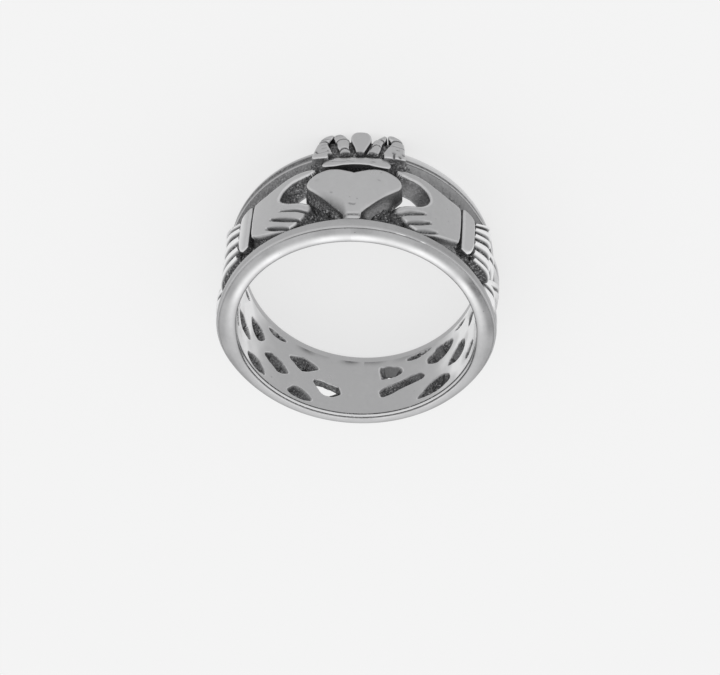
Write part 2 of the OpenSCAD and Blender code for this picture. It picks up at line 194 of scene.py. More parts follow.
# dark lines of the ridged strands beyond a cuff: [z beside the cuff, fall in z for each mm along]
FAN = {1: [[-2.40, 0.75], [-1.88, 0.75], [-1.28, 0.44], [-0.38, 0.50], [0.68, 0.30], [1.85, 0.12],
           [2.45, 0.05]],
       -1: [[-2.25, 0.50], [-1.74, 0.50], [-0.84, 0.38], [0.48, 0.24], [1.60, 0.02], [2.70, -0.12]]}
FAN_ZERO = 57.5                      # angle beside the cuff, from which the fall is counted
FAN_FROM = 58.6                      # angle where they begin
FAN_END = {1: 76.0, -1: 80.0}        # angles where they end
# a cuff's outline: [x away from the wrist, z]
CUFF = [[-0.74, -2.42], [-0.62, -2.58], [0.1, -2.62], [0.5, -2.52], [0.78, -2.2], [0.86, -1.6],
        [0.87, -0.6], [0.86, 0.5], [0.78, 1.2], [0.5, 1.95], [0.12, 2.48], [-0.3, 2.62], [-0.64, 2.6],
        [-0.74, 2.44], [-0.75, 1.2], [-0.75, 0], [-0.75, -1.2]]
# points of the crown: outline as [x, z], width of the soft edge, its drop, and cuts as for the heart
CROWN = {
    "left": ([[-3.6, -2.8], [-3.52, -3.45], [-3.36, -4.05], [-3.18, -4.6], [-2.95, -5.0], [-2.62, -5.27],
              [-2.25, -5.36], [-1.95, -5.3], [-2.05, -5.0], [-2.35, -4.7], [-2.4, -4.3], [-2.18, -3.65],
              [-1.95, -3.0], [-1.76, -2.45], [-2.3, -2.5], [-3.0, -2.6]], 0.3, 0.1,
             [[-3.36, -4.5, -2.38, -4.62, -0.16, 0.085, 0.30], [-2.98, -3.22, -2.26, -3.32, 0.0, 0.05, 0.09],
              [-2.9, -4.2, -2.52, -4.27, 0, 0.05, 0.05], [-3.34, -3.55, -3.16, -3.22, 0, 0.06, 0.12],
              [-3.05, -4.95, -2.2, -5.05, 0.06, 0.05, 0.06], [-2.85, -3.75, -2.5, -3.8, 0, 0.05, 0.05]]),
    "inner_left": ([[-1.3, -2.38], [-1.36, -2.9], [-1.36, -3.4], [-1.58, -3.75], [-1.66, -4.3],
                    [-1.84, -4.7], [-1.98, -5.05], [-1.9, -5.36], [-1.45, -5.5], [-1.1, -5.3],
                    [-0.8, -4.9], [-0.62, -4.6], [-0.58, -4.0], [-0.6, -3.6], [-0.47, -3.25],
                    [-0.44, -2.8], [-0.45, -2.36], [-0.9, -2.36]],
                   0.42, 0.2,
                   [[-1.42, -3.42, -0.5, -3.42, -0.14, 0.105, 0.42],
                    [-1.75, -4.55, -0.6, -4.62, -0.2, 0.07, 0.24],
                    [-1.7, -5.22, -1.25, -5.22, -0.04, 0.05, 0.1]]),
    "middle": ([[0.06, -2.26], [0.0, -2.9], [-0.12, -3.5], [-0.34, -4.1], [-0.5, -4.65], [-0.46, -5.1],
                [-0.24, -5.45], [0.1, -5.62], [0.5, -5.64], [0.86, -5.45], [1.1, -5.1], [1.17, -4.65],
                [1.06, -4.1], [0.86, -3.5], [0.66, -2.9], [0.58, -2.28], [0.3, -2.26]], 0.34, 0.07, []),
    "inner_right": ([[0.88, -2.32], [0.86, -2.8], [1.02, -3.3], [1.2, -3.75], [1.3, -4.25], [1.42, -4.68],
                     [1.7, -4.92], [1.95, -5.2], [2.2, -5.42], [2.42, -5.3], [2.38, -4.95], [2.2, -4.6],
                     [2.05, -4.1], [2.0, -3.6], [1.86, -3.0], [1.76, -2.46], [1.3, -2.36]], 0.42, 0.18,
                    [[1.18, -3.75, 2.02, -4.0, -0.22, 0.075, 0.26],
                     [1.5, -4.86, 2.3, -4.72, -0.1, 0.075, 0.22],
                     [1.12, -3.08, 1.56, -3.0, 0, 0.06, 0.14], [1.0, -2.4, 1.02, -2.9, 0, 0.07, 0.2],
                     [1.2, -2.4, 1.18, -2.7, 0, 0.06, 0.15]]),
    "right": ([[2.08, -2.58], [2.25, -3.1], [2.5, -3.75], [2.78, -4.35], [2.88, -4.8], [2.62, -5.05],
               [2.5, -5.35], [2.8, -5.5], [3.12, -5.42], [3.5, -5.2], [3.76, -4.85], [3.88, -4.3],
               [3.92, -3.7], [4.0, -3.1], [4.02, -2.75], [3.4, -2.68], [2.7, -2.6]], 0.3, 0.1,
              [[2.86, -4.86, 3.78, -4.92, -0.14, 0.085, 0.28], [2.86, -4.28, 3.86, -4.18, 0.03, 0.055, 0.12],
               [3.3, -3.8, 3.46, -3.78, 0, 0.06, 0.1], [3.06, -3.3, 3.12, -3.26, 0, 0.12, 0.12],
               [3.1, -3.1, 3.11, -2.72, 0, 0.08, 0.14], [3.56, -2.98, 3.62, -2.9, 0, 0.1, 0.12],
               [3.82, -3.3, 3.9, -3.34, 0, 0.1, 0.1]])}
# the sunk ground between the crown's points, as [x, z]
CROWN_SEAT = [[-2.9, -2.75], [-3.1, -3.6], [-2.85, -4.5], [-2.2, -4.95], [-1.2, -4.9], [0.3, -5.1],
              [1.6, -4.85], [2.6, -4.95], [3.3, -4.6], [3.55, -3.6], [3.4, -2.75], [1.8, -2.4], [0.2, -2.3],
              [-1.5, -2.4]]
# the bar below the crown, as [x, z], and its cuts
BAR = [[-1.21, -2.74], [-2.03, -2.68], [-2.5, -2.46], [-2.73, -2.15], [-2.7, -1.9], [-2.35, -1.74],
       [-1.7, -1.68], [-1.15, -1.76], [-0.6, -1.8], [0.06, -1.82], [0.8, -1.8], [1.3, -1.76],
       [1.8, -1.64], [2.3, -1.6], [2.72, -1.68], [2.88, -1.95], [2.8, -2.3], [2.45, -2.7], [1.64, -2.8],
       [0.8, -2.76], [0.02, -2.72]]
BAR_MARKS = [[-1.86, -2.29, -1.03, -2.12, 0, 0.05, 0.07], [-0.46, -2.2, -0.13, -2.13, 0, 0.05, 0.07],
             [1.35, -1.95, 1.49, -2.26, 0, 0.06, 0.08], [-0.5, -1.72, 0.5, -1.74, 0, 0.05, 0.05]]


def sizes():
    """The ring's sizes in millimetres and degrees, with the few that follow from them, such as the
    middle of its box and the height of the bore's middle once it is turned to rest on its face."""
    group = bpy.context.scene.ring_sizes
    s = SimpleNamespace()
    for name, prop in RingSizes.bl_rna.properties.items():
        if prop.type == "FLOAT":
            value = getattr(group, name)
            setattr(s, name, math.degrees(value) if prop.subtype == "ANGLE" else value / MM)
    s.bore_r, s.half_w = s.bore_d / 2, s.band_w / 2
    s.tilt = math.radians(s.face_tilt)
    s.rest = s.half_w * math.cos(s.tilt)
    ahead = s.crown_r * math.cos(s.tilt) + (s.half_w + s.crown_r * math.tan(s.tilt)) * math.sin(s.tilt)
    crease = 0.2
    behind = ((s.rim_r - s.rim_shift - s.half_w * math.sin(s.tilt)) * math.cos(2 * s.tilt)
              + (s.rest - crease) * math.sin(2 * s.tilt))
    s.middle_y = (ahead - behind) / 2
    return s


def cos(deg):
    return np.cos(np.radians(deg))


def sin(deg):
    return np.sin(np.radians(deg))


def ramp(x, low, high):
    """0 below low, 1 above high, with a smooth S between."""
    t = np.clip((x - low) / (high - low), 0, 1)
    return t * t * (3 - 2 * t)


def rounding(t):
    """How far a quarter circle of radius 1 lies below its top, at a share t of the way up to it."""
    return 1 - np.sqrt(np.clip(1 - (1 - t) ** 2, 0, 1))


def about_bore(angle, r, z):
    """A point at an angle from the heart, a radius and a height along the bore."""
    angle, r, z = np.broadcast_arrays(angle, r, z)
    return np.stack([r * sin(angle), r * cos(angle), z], -1)


def at_rest(p, s):
    """Millimetres about the bore to metres as the ring lies: turned about x by the slope of the
    faces, moved back so that the box's middle is at y = 0, and lifted onto the ground."""
    c, k = math.cos(s.tilt), math.sin(s.tilt)
    x, y, z = p[..., 0], p[..., 1], p[..., 2]
    return np.stack([x, y * c - z * k - s.middle_y, y * k + z * c + s.rest], -1) * MM


def shifted(angle, r, shift):
    """Radius at an angle of a circle whose middle lies shift towards the heart."""
    return shift * cos(angle) + np.sqrt(r * r - (shift * sin(angle)) ** 2)


def ground_at(angle, s):
    return shifted(angle, s.ground_r, s.rim_shift / 2)


def face_z(angle, r, s):
    """Height of the near face's plane: half the band's width, more towards the heart."""
    return s.half_w + r * cos(angle) * math.tan(s.tilt)


def near_shoulder(angle, s):
    """Height of the near rim's inner shoulder, a little lower at the heart's point."""
    peak = 0.2 * np.exp(-16.4 * np.abs(sin(angle / 2)))
    return s.half_w - s.near_rim_w + SHOULDER_R * cos(angle) * SHOULDER_FALL - peak


def far_shoulder(angle, s):
    """Height of the far rim's inner shoulder."""
    return -(s.half_w - s.rim_w + SHOULDER_R * cos(angle) * SHOULDER_FALL)


def waves(u, v, size, seed, count=18):
    """Soft unevenness between about -1 and 1: a sum of sine waves of random direction and phase,
    whose lengths lie round size."""
    rng = np.random.default_rng(seed)
    total = 0
    for _ in range(count):
        way, phase = rng.uniform(0, 2 * np.pi, 2)
        k = 2 * np.pi / (size * rng.uniform(0.7, 1.6))
        total = total + np.sin(k * (np.cos(way) * u + np.sin(way) * v) + phase)
    return total / math.sqrt(count)


def smooth_curve(points, count, closed=True):
    """A curve through the points: each stretch is the cubic whose slope at a point is half the
    step between its neighbours. The curve is then divided into count equal steps."""
    p = np.array(points, float)
    q = np.concatenate([p[-1:], p, p[:2]]) if closed else np.concatenate(
        [2 * p[:1] - p[1:2], p, 2 * p[-1:] - p[-2:-1]])
    t = np.linspace(0, 1, 16, endpoint=False)[:, None]
    a, b, c, d = q[:-3, None], q[1:-2, None], q[2:-1, None], q[3:, None]
    run = 0.5 * (2 * b + (c - a) * t + (2 * a - 5 * b + 4 * c - d) * t ** 2
                 + (3 * b - a - 3 * c + d) * t ** 3)
    run = run.reshape(-1, 2)
    run = np.concatenate([run, run[:1] if closed else p[-1:]])
    step = np.r_[0, np.cumsum(np.linalg.norm(np.diff(run, axis=0), axis=1))]
    at = np.linspace(0, step[-1], count, endpoint=not closed)
    return np.stack([np.interp(at, step, run[:, k]) for k in (0, 1)], -1)


def inside_by(x, z, curve):
    """Distance from each place to a closed curve, positive inside: the least distance to its
    straight steps, with the sign from how many of them a line to the right crosses."""
    shape = x.shape
    px, pz = x.ravel()[:, None], z.ravel()[:, None]
    out = np.empty(px.shape[0])
    a, b = curve, np.roll(curve, -1, 0)
    ab = b - a
    for k in range(0, len(out), 20000):
        qx, qz = px[k:k + 20000] - a[:, 0], pz[k:k + 20000] - a[:, 1]
        t = np.clip((qx * ab[:, 0] + qz * ab[:, 1]) / (ab ** 2).sum(1), 0, 1)
        far = np.sqrt(((qx - t * ab[:, 0]) ** 2 + (qz - t * ab[:, 1]) ** 2).min(1))
        cross = ((a[:, 1] > pz[k:k + 20000]) != (b[:, 1] > pz[k:k + 20000])) & (
            qx < ab[:, 0] * qz / np.where(ab[:, 1] == 0, 1e-9, ab[:, 1]))
        out[k:k + 20000] = np.where(cross.sum(1) % 2 == 1, far, -far)
    return out.reshape(shape)


def heart_curve(s, count=120):
    """The heart's outline as [x, z], clockwise from the cleft, with corners at cleft and point."""
    half = smooth_curve([[p[0] * s.heart_w / 2, p[1] * s.heart_l - s.heart_top] for p in HEART],
                        count // 2 + 1, closed=False)
    return np.concatenate([half, half[-2:0:-1] * [-1, 1]])


def hand_curve(s):
    """Outline of a hand, as [millimetres along its surface from the heart's middle, z]."""
    return smooth_curve(np.array(HAND) * [s.wrist * HAND_MM, s.hand_h], 240)


def pocket_curve(s):
    """Outline of the opening between thumb, fingers and heart, in the same measures."""
    return smooth_curve(np.array(POCKET) * [s.wrist * HAND_MM, s.hand_h], 120)


def cuts(x, z, lines, leaf=False):
    """Depth and darkness of cut lines, each [x, z, x, z, bow, width, depth]: a round groove along an
    arc between two places, its section a bell curve; a leaf is widest half way."""
    deep, dark = np.zeros(np.shape(x)), np.zeros(np.shape(x))
    for x0, z0, x1, z1, bow, wide, depth in lines:
        dx, dz = x1 - x0, z1 - z0
        long = math.hypot(dx, dz)
        t = np.clip(((x - x0) * dx + (z - z0) * dz) / long ** 2, 0, 1)
        off = bow * (1 - (2 * t - 1) ** 2) / long
        across = np.hypot(x - (x0 + t * dx - off * dz), z - (z0 + t * dz + off * dx))
        here = wide * (0.5 + 0.6 * np.sin(np.pi * t)) if leaf else wide
        g = np.exp(-(across / here) ** 2)
        deep = np.maximum(deep, depth * g)
        dark = np.maximum(dark, g * min(1.0, depth * 6))
    return deep, dark


def dome_at(angle, z, s):
    """Rounded surface of the hands: a circle whose middle lies towards the heart, lower by the
    height's share to a power beside the rims."""
    r = 1.93 * cos(angle) + np.sqrt(10.43 ** 2 - (1.93 * sin(angle)) ** 2)
    return r - 0.55 * np.abs((z - 0.3) / s.hand_h) ** 2.4


def crossing(x):
    """A strand's place across the band, in rows: a line of slope 2 that goes up and down between
    about -1.7 and 1.7, with its turns rounded."""
    y = 2 * (1 - np.abs((x + 1) % 4 - 2))
    over = np.maximum(np.abs(y) - 1.15, 0)
    return np.sign(y) * (np.minimum(np.abs(y), 1.15) + 0.62 * (1 - np.exp(-over / 0.62)))


def strand_top(angle, s):
    """Highest radius of the strands: lower at the back than at the sides."""
    return s.back_r + (s.strand_r - s.back_r) * ramp(180 - np.abs(angle), 45, 92)


def strands_at(angle, z, s, side):
    """For each of the four woven strands, the distance from its middle line and how high it runs
    there, from 0 where it passes under to 1 where it passes over."""
    x = (180 - np.abs(angle)) / PITCH[side] - FIRST[side]
    y = (z - s.row_shift) / s.row_gap
    found = []
    for k in range(4):
        u = (x + k) % 4
        pitch = PITCH[side] * np.pi / 180 * WEAVE_R
        slope = (crossing(u + 0.01) - crossing(u - 0.01)) / 0.02 * s.row_gap / pitch
        off = (y - crossing(u)) * s.row_gap / np.sqrt(1 + slope ** 2)
        up = np.interp(u, [0, 0.5, 1.5, 2, 2.5, 3.5, 4], [1, 0, 1, 0, 1, 0, 1])
        found.append((off, 0.5 - 0.5 * np.cos(np.pi * up)))
    return found


def cover_at(angle, z, s):
    """How far each place lies inside the nearest strand, negative beside it. The strand is cut back
    over one opening at the left, which is clear to look through."""
    over = np.full(np.shape(angle), -9.0)
    for side in (1, -1):
        here = (np.sign(angle) == side) & (np.abs(angle) > FAN_END[side] + 3)
        if here.any():
            off = np.min([np.abs(d) for d, _ in strands_at(angle[here], z[here], s, side)], 0)
            over[here] = 0.46 * s.strand_w - off
    return over - 0.35 * np.exp(-((angle + 163) / 7) ** 2 - ((z - 0.9) / 1.2) ** 2)


def weave_height(angle, z, s, side):
    """Height of the woven strands and how near to a crest each place is. Four strands follow the
    same zigzag a pitch apart; each is a ribbon with rounded edges and a groove along its middle,
    high where it passes over and low where it passes under, and the highest one shows."""
    high, low = strand_top(angle, s), ground_at(angle, s)
    dive = 0.62 * (high - low)
    half = s.strand_w / 2
    best, line = low + 0 * z, np.ones_like(z)
    for d, up in strands_at(angle, z, s, side):
        t = np.clip(np.abs(d) / half, 0, 1)
        ridge = np.abs(np.sin(np.pi * np.clip(d / half, -1, 1))) ** 0.65
        top = high - dive * (1 - up)
        r = low + (top - low) * np.clip(1 - t ** 5, 0, 1) ** 0.5 - s.ridge_depth * (1 - ridge) * (t < 1)
        r = np.where(t < 1, r, low)
        line = np.where(r > best, ridge, line)
        best = np.maximum(best, r)
    return best, line


def fan_height(angle, z, s, side):
    """Height of the ridged strands beyond a cuff and how near to a crest each place is: between
    each two dark lines a ridge rises as half a sine, and all sink where the weave begins."""
    a = np.abs(angle)
    along = (a - FAN_ZERO) * FAN_MM
    lines = [z0 - fall * along for z0, fall in FAN[side]]
    q = np.full(np.shape(z), -1.0)
    for i, (below, above) in enumerate(zip(lines[:-1], lines[1:])):
        q = np.where((z >= below) & (z < above), i + (z - below) / (above - below), q)
    on = q >= 0
    ridge = np.where(on, np.abs(np.sin(np.pi * q)), 0)
    ridge = ridge * (1 - 0.9 * np.exp(-((a - FAN_END[side] + 2.5) / 0.7) ** 2))
    end = np.clip((a - (FAN_END[side] - 10)) / 10, 0, 1)
    top = s.strand_r - 0.02 - 0.7 * end ** 2.5 - 0.3 * (1 - ramp(a, 57, 68))
    low = ground_at(angle, s)
    r = np.where(on, top - 0.45 * (1 - ridge ** 0.75), low)
    start = ramp(a, FAN_FROM - 0.4, FAN_FROM)
    return low + (r - low) * start, ridge * ramp(a, FAN_FROM - 0.1, FAN_FROM + 0.3)


@functools.cache
def opening_curves():
    """For each opening of the shank: how much narrower it is outside, its outline in millimetres
    along the bore, and the largest distance from a place inside it to its outline."""
    found = []
    for narrow, outline in OPENINGS.values():
        curve = smooth_curve(np.array(outline) * [BORE_MM, 1], 64)
        x, z = (np.linspace(curve[:, k].min(), curve[:, k].max(), 30) for k in (0, 1))
        found.append((narrow, curve, inside_by(*np.meshgrid(x, z), curve).max()))
    return found


def openings_by(angle, z):
    """How far each place lies outside every opening of the shank (negative inside one), and how much
    narrower the nearest one is outside, less towards its middle."""
    out, waist = np.full(np.shape(angle), 9.0), np.zeros(np.shape(angle))
    x = angle * BORE_MM
    for narrow, curve, most in opening_curves():
        low, high = curve.min(0) - 0.9, curve.max(0) + 0.9
        near = (x > low[0]) & (x < high[0]) & (z > low[1]) & (z < high[1])
        if not near.any():
            continue
        d = -inside_by(x[near], z[near], curve)
        better = d < out[near]
        waist[near] = np.where(better, narrow * np.clip(1 + d / most, 0, 1), waist[near])
        out[near] = np.where(better, d, out[near])
    return out + 0.02 * waves(angle * MID_MM, z, 0.7, 5), waist


def lowered(angle, z):
    """Heights read by the right hand's outline: its opening reaches lower than the left one's."""
    return z - np.where(angle > 0, 0.25 * ramp(z, 0.3, 1.6) * (1 - ramp(z, 2.3, 3.3)), 0)


def pocket_by(angle, z, s):
    """How far each place of the bore lies outside the two openings beside the heart: outside the
    pocket's outline, widened by its lean, or inside the heart's outline."""
    hole = inside_by(np.abs(angle) * HAND_MM, lowered(angle, z), pocket_curve(s))
    heart = inside_by(s.heart_r * sin(angle) * 0.97, z, heart_curve(s))
    return -np.minimum(hole + POCKET_LEAN, -heart - np.where(angle > 0, 0.02, 0.25))


def gap_at(angle, z, s):
    """How far each place of the bore lies outside every opening of the band, and how much narrower
    the nearest one is outside."""
    angle = (angle + 180) % 360 - 180
    out, waist = openings_by(angle, z)
    front = np.abs(angle) < 40
    if front.any():
        out[front] = np.minimum(out[front], pocket_by(angle[front], z[front], s))
        waist[front] = POCKET_LEAN
    return out, waist


def outside_at(angle, z, s):
    """Where a place of the bore comes out on the outside: moved into the nearest opening by its
    narrowing, less with the square of the distance from it, and towards the near rim."""
    hole, waist = gap_at(angle, z, s)
    near = hole < 0.6
    across, along, size = slope_of(lambda a, h: gap_at(a, h, s)[0], angle[near], z[near], 0.04)
    lean = waist[near] * (1 - np.clip(hole[near], 0, 0.6) / 0.6) ** 2 / np.sqrt(size)
    out_angle, out_z = angle.copy(), z.copy()
    out_angle[near] -= lean * across / MID_MM
    out_z[near] -= lean * along
    lift = 0.42 * (1 - 0.7 * np.exp(-((angle + 162) / 9) ** 2)) * ramp(np.abs(angle), 78, 86)
    inside = ramp(near_shoulder(angle, s) - z, 0.05, 0.6) * ramp(z - far_shoulder(angle, s), 0.05, 0.6)
    return out_angle, out_z + lift * (1 - np.clip(hole, 0, 1.3) / 1.3) ** 2 * inside


def slope_of(distance, angle, z, step=0.02):
    """Slope of a distance across and along the bore, and its square, kept off nought."""
    across = (distance(angle + step / MID_MM, z) - distance(angle - step / MID_MM, z)) / (2 * step)
    along = (distance(angle, z + step) - distance(angle, z - step)) / (2 * step)
    return across, along, np.maximum(across ** 2 + along ** 2, 0.25)


def through_at(angle, z, s):
    """How far each place lies outside the part of an opening that no strand passes over."""
    return np.maximum(gap_at(angle, z, s)[0], cover_at(*outside_at(angle, z, s), s))


def front_height(angle, z, s):
    """Height, darkness, and brightness from a painted highlight, of the ground and hands in front:
    the hands' dome where a place is inside a hand's outline, with a steep S at the outline, softer
    at the fingertips, and grooves between the fingers. The ground rises to the far rim and, rough,
    at the fingertips."""
    a = np.abs(angle)
    by = inside_by(np.where(angle < 0, 1.02, 1.0) * a * HAND_MM, lowered(angle, z), hand_curve(s))
    far = z - far_shoulder(angle, s)
    rim = shifted(angle, s.rim_r - s.far_less, s.rim_shift)
    fill = np.clip(1 - far / np.where(angle < 0, 1.3, 0.9), 0, 1) * (1 - ramp(a, 74, 82))
    tips = ramp(z, 1.6, 2.6) * (1 - ramp(np.abs(a - 14), 3, 9))
    under_bar = ramp(z, -3.0, -2.4) * (1 - ramp(z, -0.6, 0.0)) * (1 - ramp(a, 10, 14))
    low = ground_at(angle, s) + 0.45 * tips + 0.7 * under_bar
    low = low + (0.03 + 0.06 * tips) * waves(angle * 0.2, z, 0.55, 3)
    low = low + (0.02 + 0.05 * tips) * waves(angle * 0.2, z, 0.25, 4)
    low = low + (rim - 0.06 - low) * fill ** 2 * np.where(angle < 0, 1.0, 0.9)
    top = dome_at(angle, z, s) - 0.25 * tips
    deep, shade = np.zeros(np.shape(top)), np.zeros(np.shape(top))
    for side in (1, -1):
        lines = [[p[0] * HAND_MM, p[1], p[2] * HAND_MM, *p[3:]] for p in GROOVES[side]]
        depth, tone = cuts(a * HAND_MM, z, lines, leaf=True)
        mine = np.sign(angle) == side
        deep, shade = np.where(mine, depth, deep), np.where(mine, tone, shade)
    soft = 0.12 + 0.3 * tips
    rise = ramp(by, -soft, 0.06 + 0.1 * tips)
    r = low + (top - low) * rise - deep * rise
    far_tone = np.where(angle < 0, 0.78 - 0.12 * fill, 0.62 - 0.1 * fill)
    near_tone = 0.9 - 0.35 * ramp(angle, 33, 41) + 0.1 * (angle < 0) * (a > 46)
    ground = np.where(z < 0, far_tone, near_tone) + 0.2 * (a < 17) * (z > 0)
    dark = ground * (1 - ramp(by, -0.03, 0.05 + 0.25 * tips))
    dark = np.maximum(dark, np.clip(shade * 0.95 - 0.1, 0, 1))
    dark = np.maximum(dark, 0.09 * (angle > 0))
    # A painted highlight just inside the hands' outline, strongest at the left wrist.
    wear_and_sheen = 0.35 - 0.3 * tips + 0.55 * (angle < 0) * ramp(a, 45, 46.5)
    return r, dark, wear_and_sheen * np.exp(-((by - 0.1) / 0.06) ** 2)


def band_height(angle, z, s, hole):
    """Outer radius of the band between the rims, how dark it is and how bright with painted
    highlights: the hands in front, the ridged strands beyond the cuffs and the weave behind, each
    faded into the next, the plain piece at the back, a narrow groove along the shoulders, and a
    rounding down to each opening, by the distance from it."""
    angle = (angle + 180) % 360 - 180
    a = np.abs(angle)
    low = ground_at(angle, s)
    r, dark, wear_and_sheen = front_height(angle, z, s)
    for side in (1, -1):
        fan, ridge = fan_height(angle, z, s, side)
        weave, line = weave_height(angle, z, s, side)
        start = FAN_END[side] - 3
        fan = np.where(a < FAN_END[side] + 6, fan, low)
        weave = low + (weave - low) * ramp(a, start - 4, start + 4)
        both = np.maximum(fan, weave)
        crest = np.where(fan >= weave, s.strand_r, strand_top(angle, s))
        groove = np.where(fan >= weave, ridge, line)
        tone = np.maximum(ramp((crest - both) / (crest - low), 0.5, 0.98), 1 - ramp(groove, 0.3, 0.72))
        mine = (np.sign(angle) == side) & (a >= 50) & (both > r)
        # A painted highlight along the strands' crests, strongest about 66 degrees from the heart.
        painted_highlight = 0.35 + 0.6 * (1 - ramp(np.abs(a - 66), 10, 22))
        r, dark = np.where(mine, both, r), np.where(mine, tone, dark)
        wear_and_sheen = np.where(mine, painted_highlight * ramp(groove, 0.6, 0.85) * (1 - tone), wear_and_sheen)
    plain = shifted(angle, s.plain_r, s.rim_shift / 4)
    on = 1 - ramp(180 - a, s.plain_half - 0.3, s.plain_half + 0.5)
    r = r + (np.maximum(plain, low) - r) * on
    edge = np.minimum(near_shoulder(angle, s) - z, z - far_shoulder(angle, s))
    groove = (1 - ramp(edge, 0.02, 0.2)) * (1 - on) * ramp(a, 76, 84)
    r = r + (low - r) * groove
    dark = np.maximum(dark * (1 - on), groove * 0.9)
    wear_and_sheen = wear_and_sheen * (1 - on) * (1 - groove)
    # A painted highlight along the openings' edges in front.
    wear_and_sheen = np.maximum(wear_and_sheen, 0.4 * np.exp(-((hole - 0.06) / 0.05) ** 2) * (a < 40))
    r = r - np.minimum(0.1, 0.25 * (r - s.bore_r)) * rounding(np.clip(hole / 0.16, 0, 1))
    return r, dark, wear_and_sheen


def shell(outer, inner, keep, levels):
    """Two sheets on one grid made into a solid: cells that are kept appear in both, and a wall of
    straight steps joins them along every edge of what is kept. Gives points, four-cornered faces,
    and which points lie on the grid's own border."""
    n, m = outer.shape[0], outer.shape[1]
    at = np.arange(n * m).reshape(n, m)
    k = np.pad(keep, 1)
    q = np.stack([at[:-1, :-1], at[1:, :-1], at[1:, 1:], at[:-1, 1:]], -1)
    top = q[keep]
    edges = []
    for (c0, c1), other in (((0, 1), k[1:-1, :-2]), ((1, 2), k[2:, 1:-1]), ((2, 3), k[1:-1, 2:]),
                            ((3, 0), k[:-2, 1:-1])):
        rim = keep & ~other
        edges.append(np.stack([q[..., c0][rim], q[..., c1][rim]], -1))
    edges = np.concatenate(edges)
    ring, place = np.unique(edges, return_inverse=True)
    place = place.reshape(edges.shape)
    a, b = outer.reshape(-1, 3), inner.reshape(-1, 3)
    points, faces = [a, b], [top, top[:, ::-1] + n * m]
    rows = [edges]
    for j, t in enumerate(levels):
        points.append(a[ring] + (b[ring] - a[ring]) * t)
        rows.append(place + 2 * n * m + j * len(ring))
    rows.append(edges + n * m)
    for up, down in zip(rows[:-1], rows[1:]):
        faces.append(np.stack([up[:, 1], up[:, 0], down[:, 0], down[:, 1]], -1))
    i, j = np.divmod(np.arange(n * m), m)
    border = (i == 0) | (i == n - 1) | (j == 0) | (j == m - 1)
    border = np.concatenate([border, border] + [border[ring]] * len(levels))
    return np.concatenate(points), np.concatenate(faces), border


def new_piece(name, points, faces, silver, s, tarnish_and_shade, wear_and_sheen, sharp=None):
    """A mesh object of points in millimetres about the bore and arrays of faces of three or four
    corners. Unused points are left out, faces are turned round where the volume inside them comes
    out negative, and each point's darkness (patina and painted shade) and brightness (rubbing and
    painted highlights) are stored. Edges between sharp points are sharp."""
    volume = sum((points[f[:, 0]] * np.cross(points[f[:, k]], points[f[:, k + 1]])).sum()
                 for f in faces for k in range(1, f.shape[1] - 1))
    if volume < 0:
        faces = [f[:, ::-1] for f in faces]
    used, flat = np.unique(np.concatenate([f.ravel() for f in faces]), return_inverse=True)
    corners = np.repeat([f.shape[1] for f in faces], [len(f) for f in faces])
    mesh = bpy.data.meshes.new(name)
    mesh.vertices.add(len(used))
    mesh.vertices.foreach_set("co", at_rest(points[used], s).astype(np.float32).ravel())
    mesh.loops.add(len(flat))
    mesh.loops.foreach_set("vertex_index", flat.astype(np.int32))
    mesh.polygons.add(len(corners))
    mesh.polygons.foreach_set("loop_start", np.r_[0, np.cumsum(corners)[:-1]].astype(np.int32))
    mesh.update(calc_edges=True)
    mesh.validate()
    mesh.shade_smooth()
    if sharp is not None:
        ends = np.empty(len(mesh.edges) * 2, np.int32)
        mesh.edges.foreach_get("vertices", ends)
        flags = mesh.attributes.new("sharp_edge", "BOOLEAN", "EDGE")
        flags.data.foreach_set("value", sharp[used][ends].reshape(-1, 2).all(1))
    # The two stored values: darkness from patina and painted shade, brightness from rubbing and painted
    # highlights.
    for label, values in (("tarnish_and_shade", tarnish_and_shade), ("wear_and_sheen", wear_and_sheen)):
        layer = mesh.attributes.new(label, "FLOAT", "POINT")
        layer.data.foreach_set("value", values[used].astype(np.float32))
    mesh.materials.append(silver)
    piece = bpy.data.objects.new(name, mesh)
    bpy.context.scene.collection.objects.link(piece)
    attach(piece, "root")
    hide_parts("ring")


def bore_tone(angle, z):
    """Brightness and darkness in the finger hole: a painted highlight at the left and right, and a
    cloudy darker band along the far edge at the back."""
    a = np.abs((angle + 180) % 360 - 180)
    uneven = waves(angle * 0.17, z, 2.2, 8)
    right = (angle + 180) % 360 > 180
    middle, width = np.where(right, 114, 103), np.where(right, 20, 15)
    # Painted highlight at the bore's left and right.
    painted_highlight = np.clip((1.2 + 0.35 * uneven) * np.exp(-((a - middle) / width) ** 2), 0, 1)
    # A cloudy darker band along the far edge at the back.
    bore_dark = 0.42 * np.exp(-((z + 3.2) / 0.45) ** 2) * ramp(a, 130, 155)
    return painted_highlight, np.clip(bore_dark * (0.6 + 0.5 * uneven), 0, 1)


def held_cells(keep):
    """The kept cells that hang together with the grid's border. Where two cells would touch only at
    a corner, a third one is kept as well."""
    keep[1:, :-1] |= keep[:-1, :-1] & keep[1:, 1:] & ~keep[:-1, 1:]
    keep[:-1, :-1] |= keep[1:, :-1] & keep[:-1, 1:] & ~keep[1:, 1:]
    held = np.zeros_like(keep)
    grown = keep.copy()
    grown[1:-1, 1:-1] = False
    while (grown != held).any():
        held = grown.copy()
        grown[1:] |= held[:-1]
        grown[:-1] |= held[1:]
        grown[:, 1:] |= held[:, :-1]
        grown[:, :-1] |= held[:, 1:]
        grown &= keep
    return held


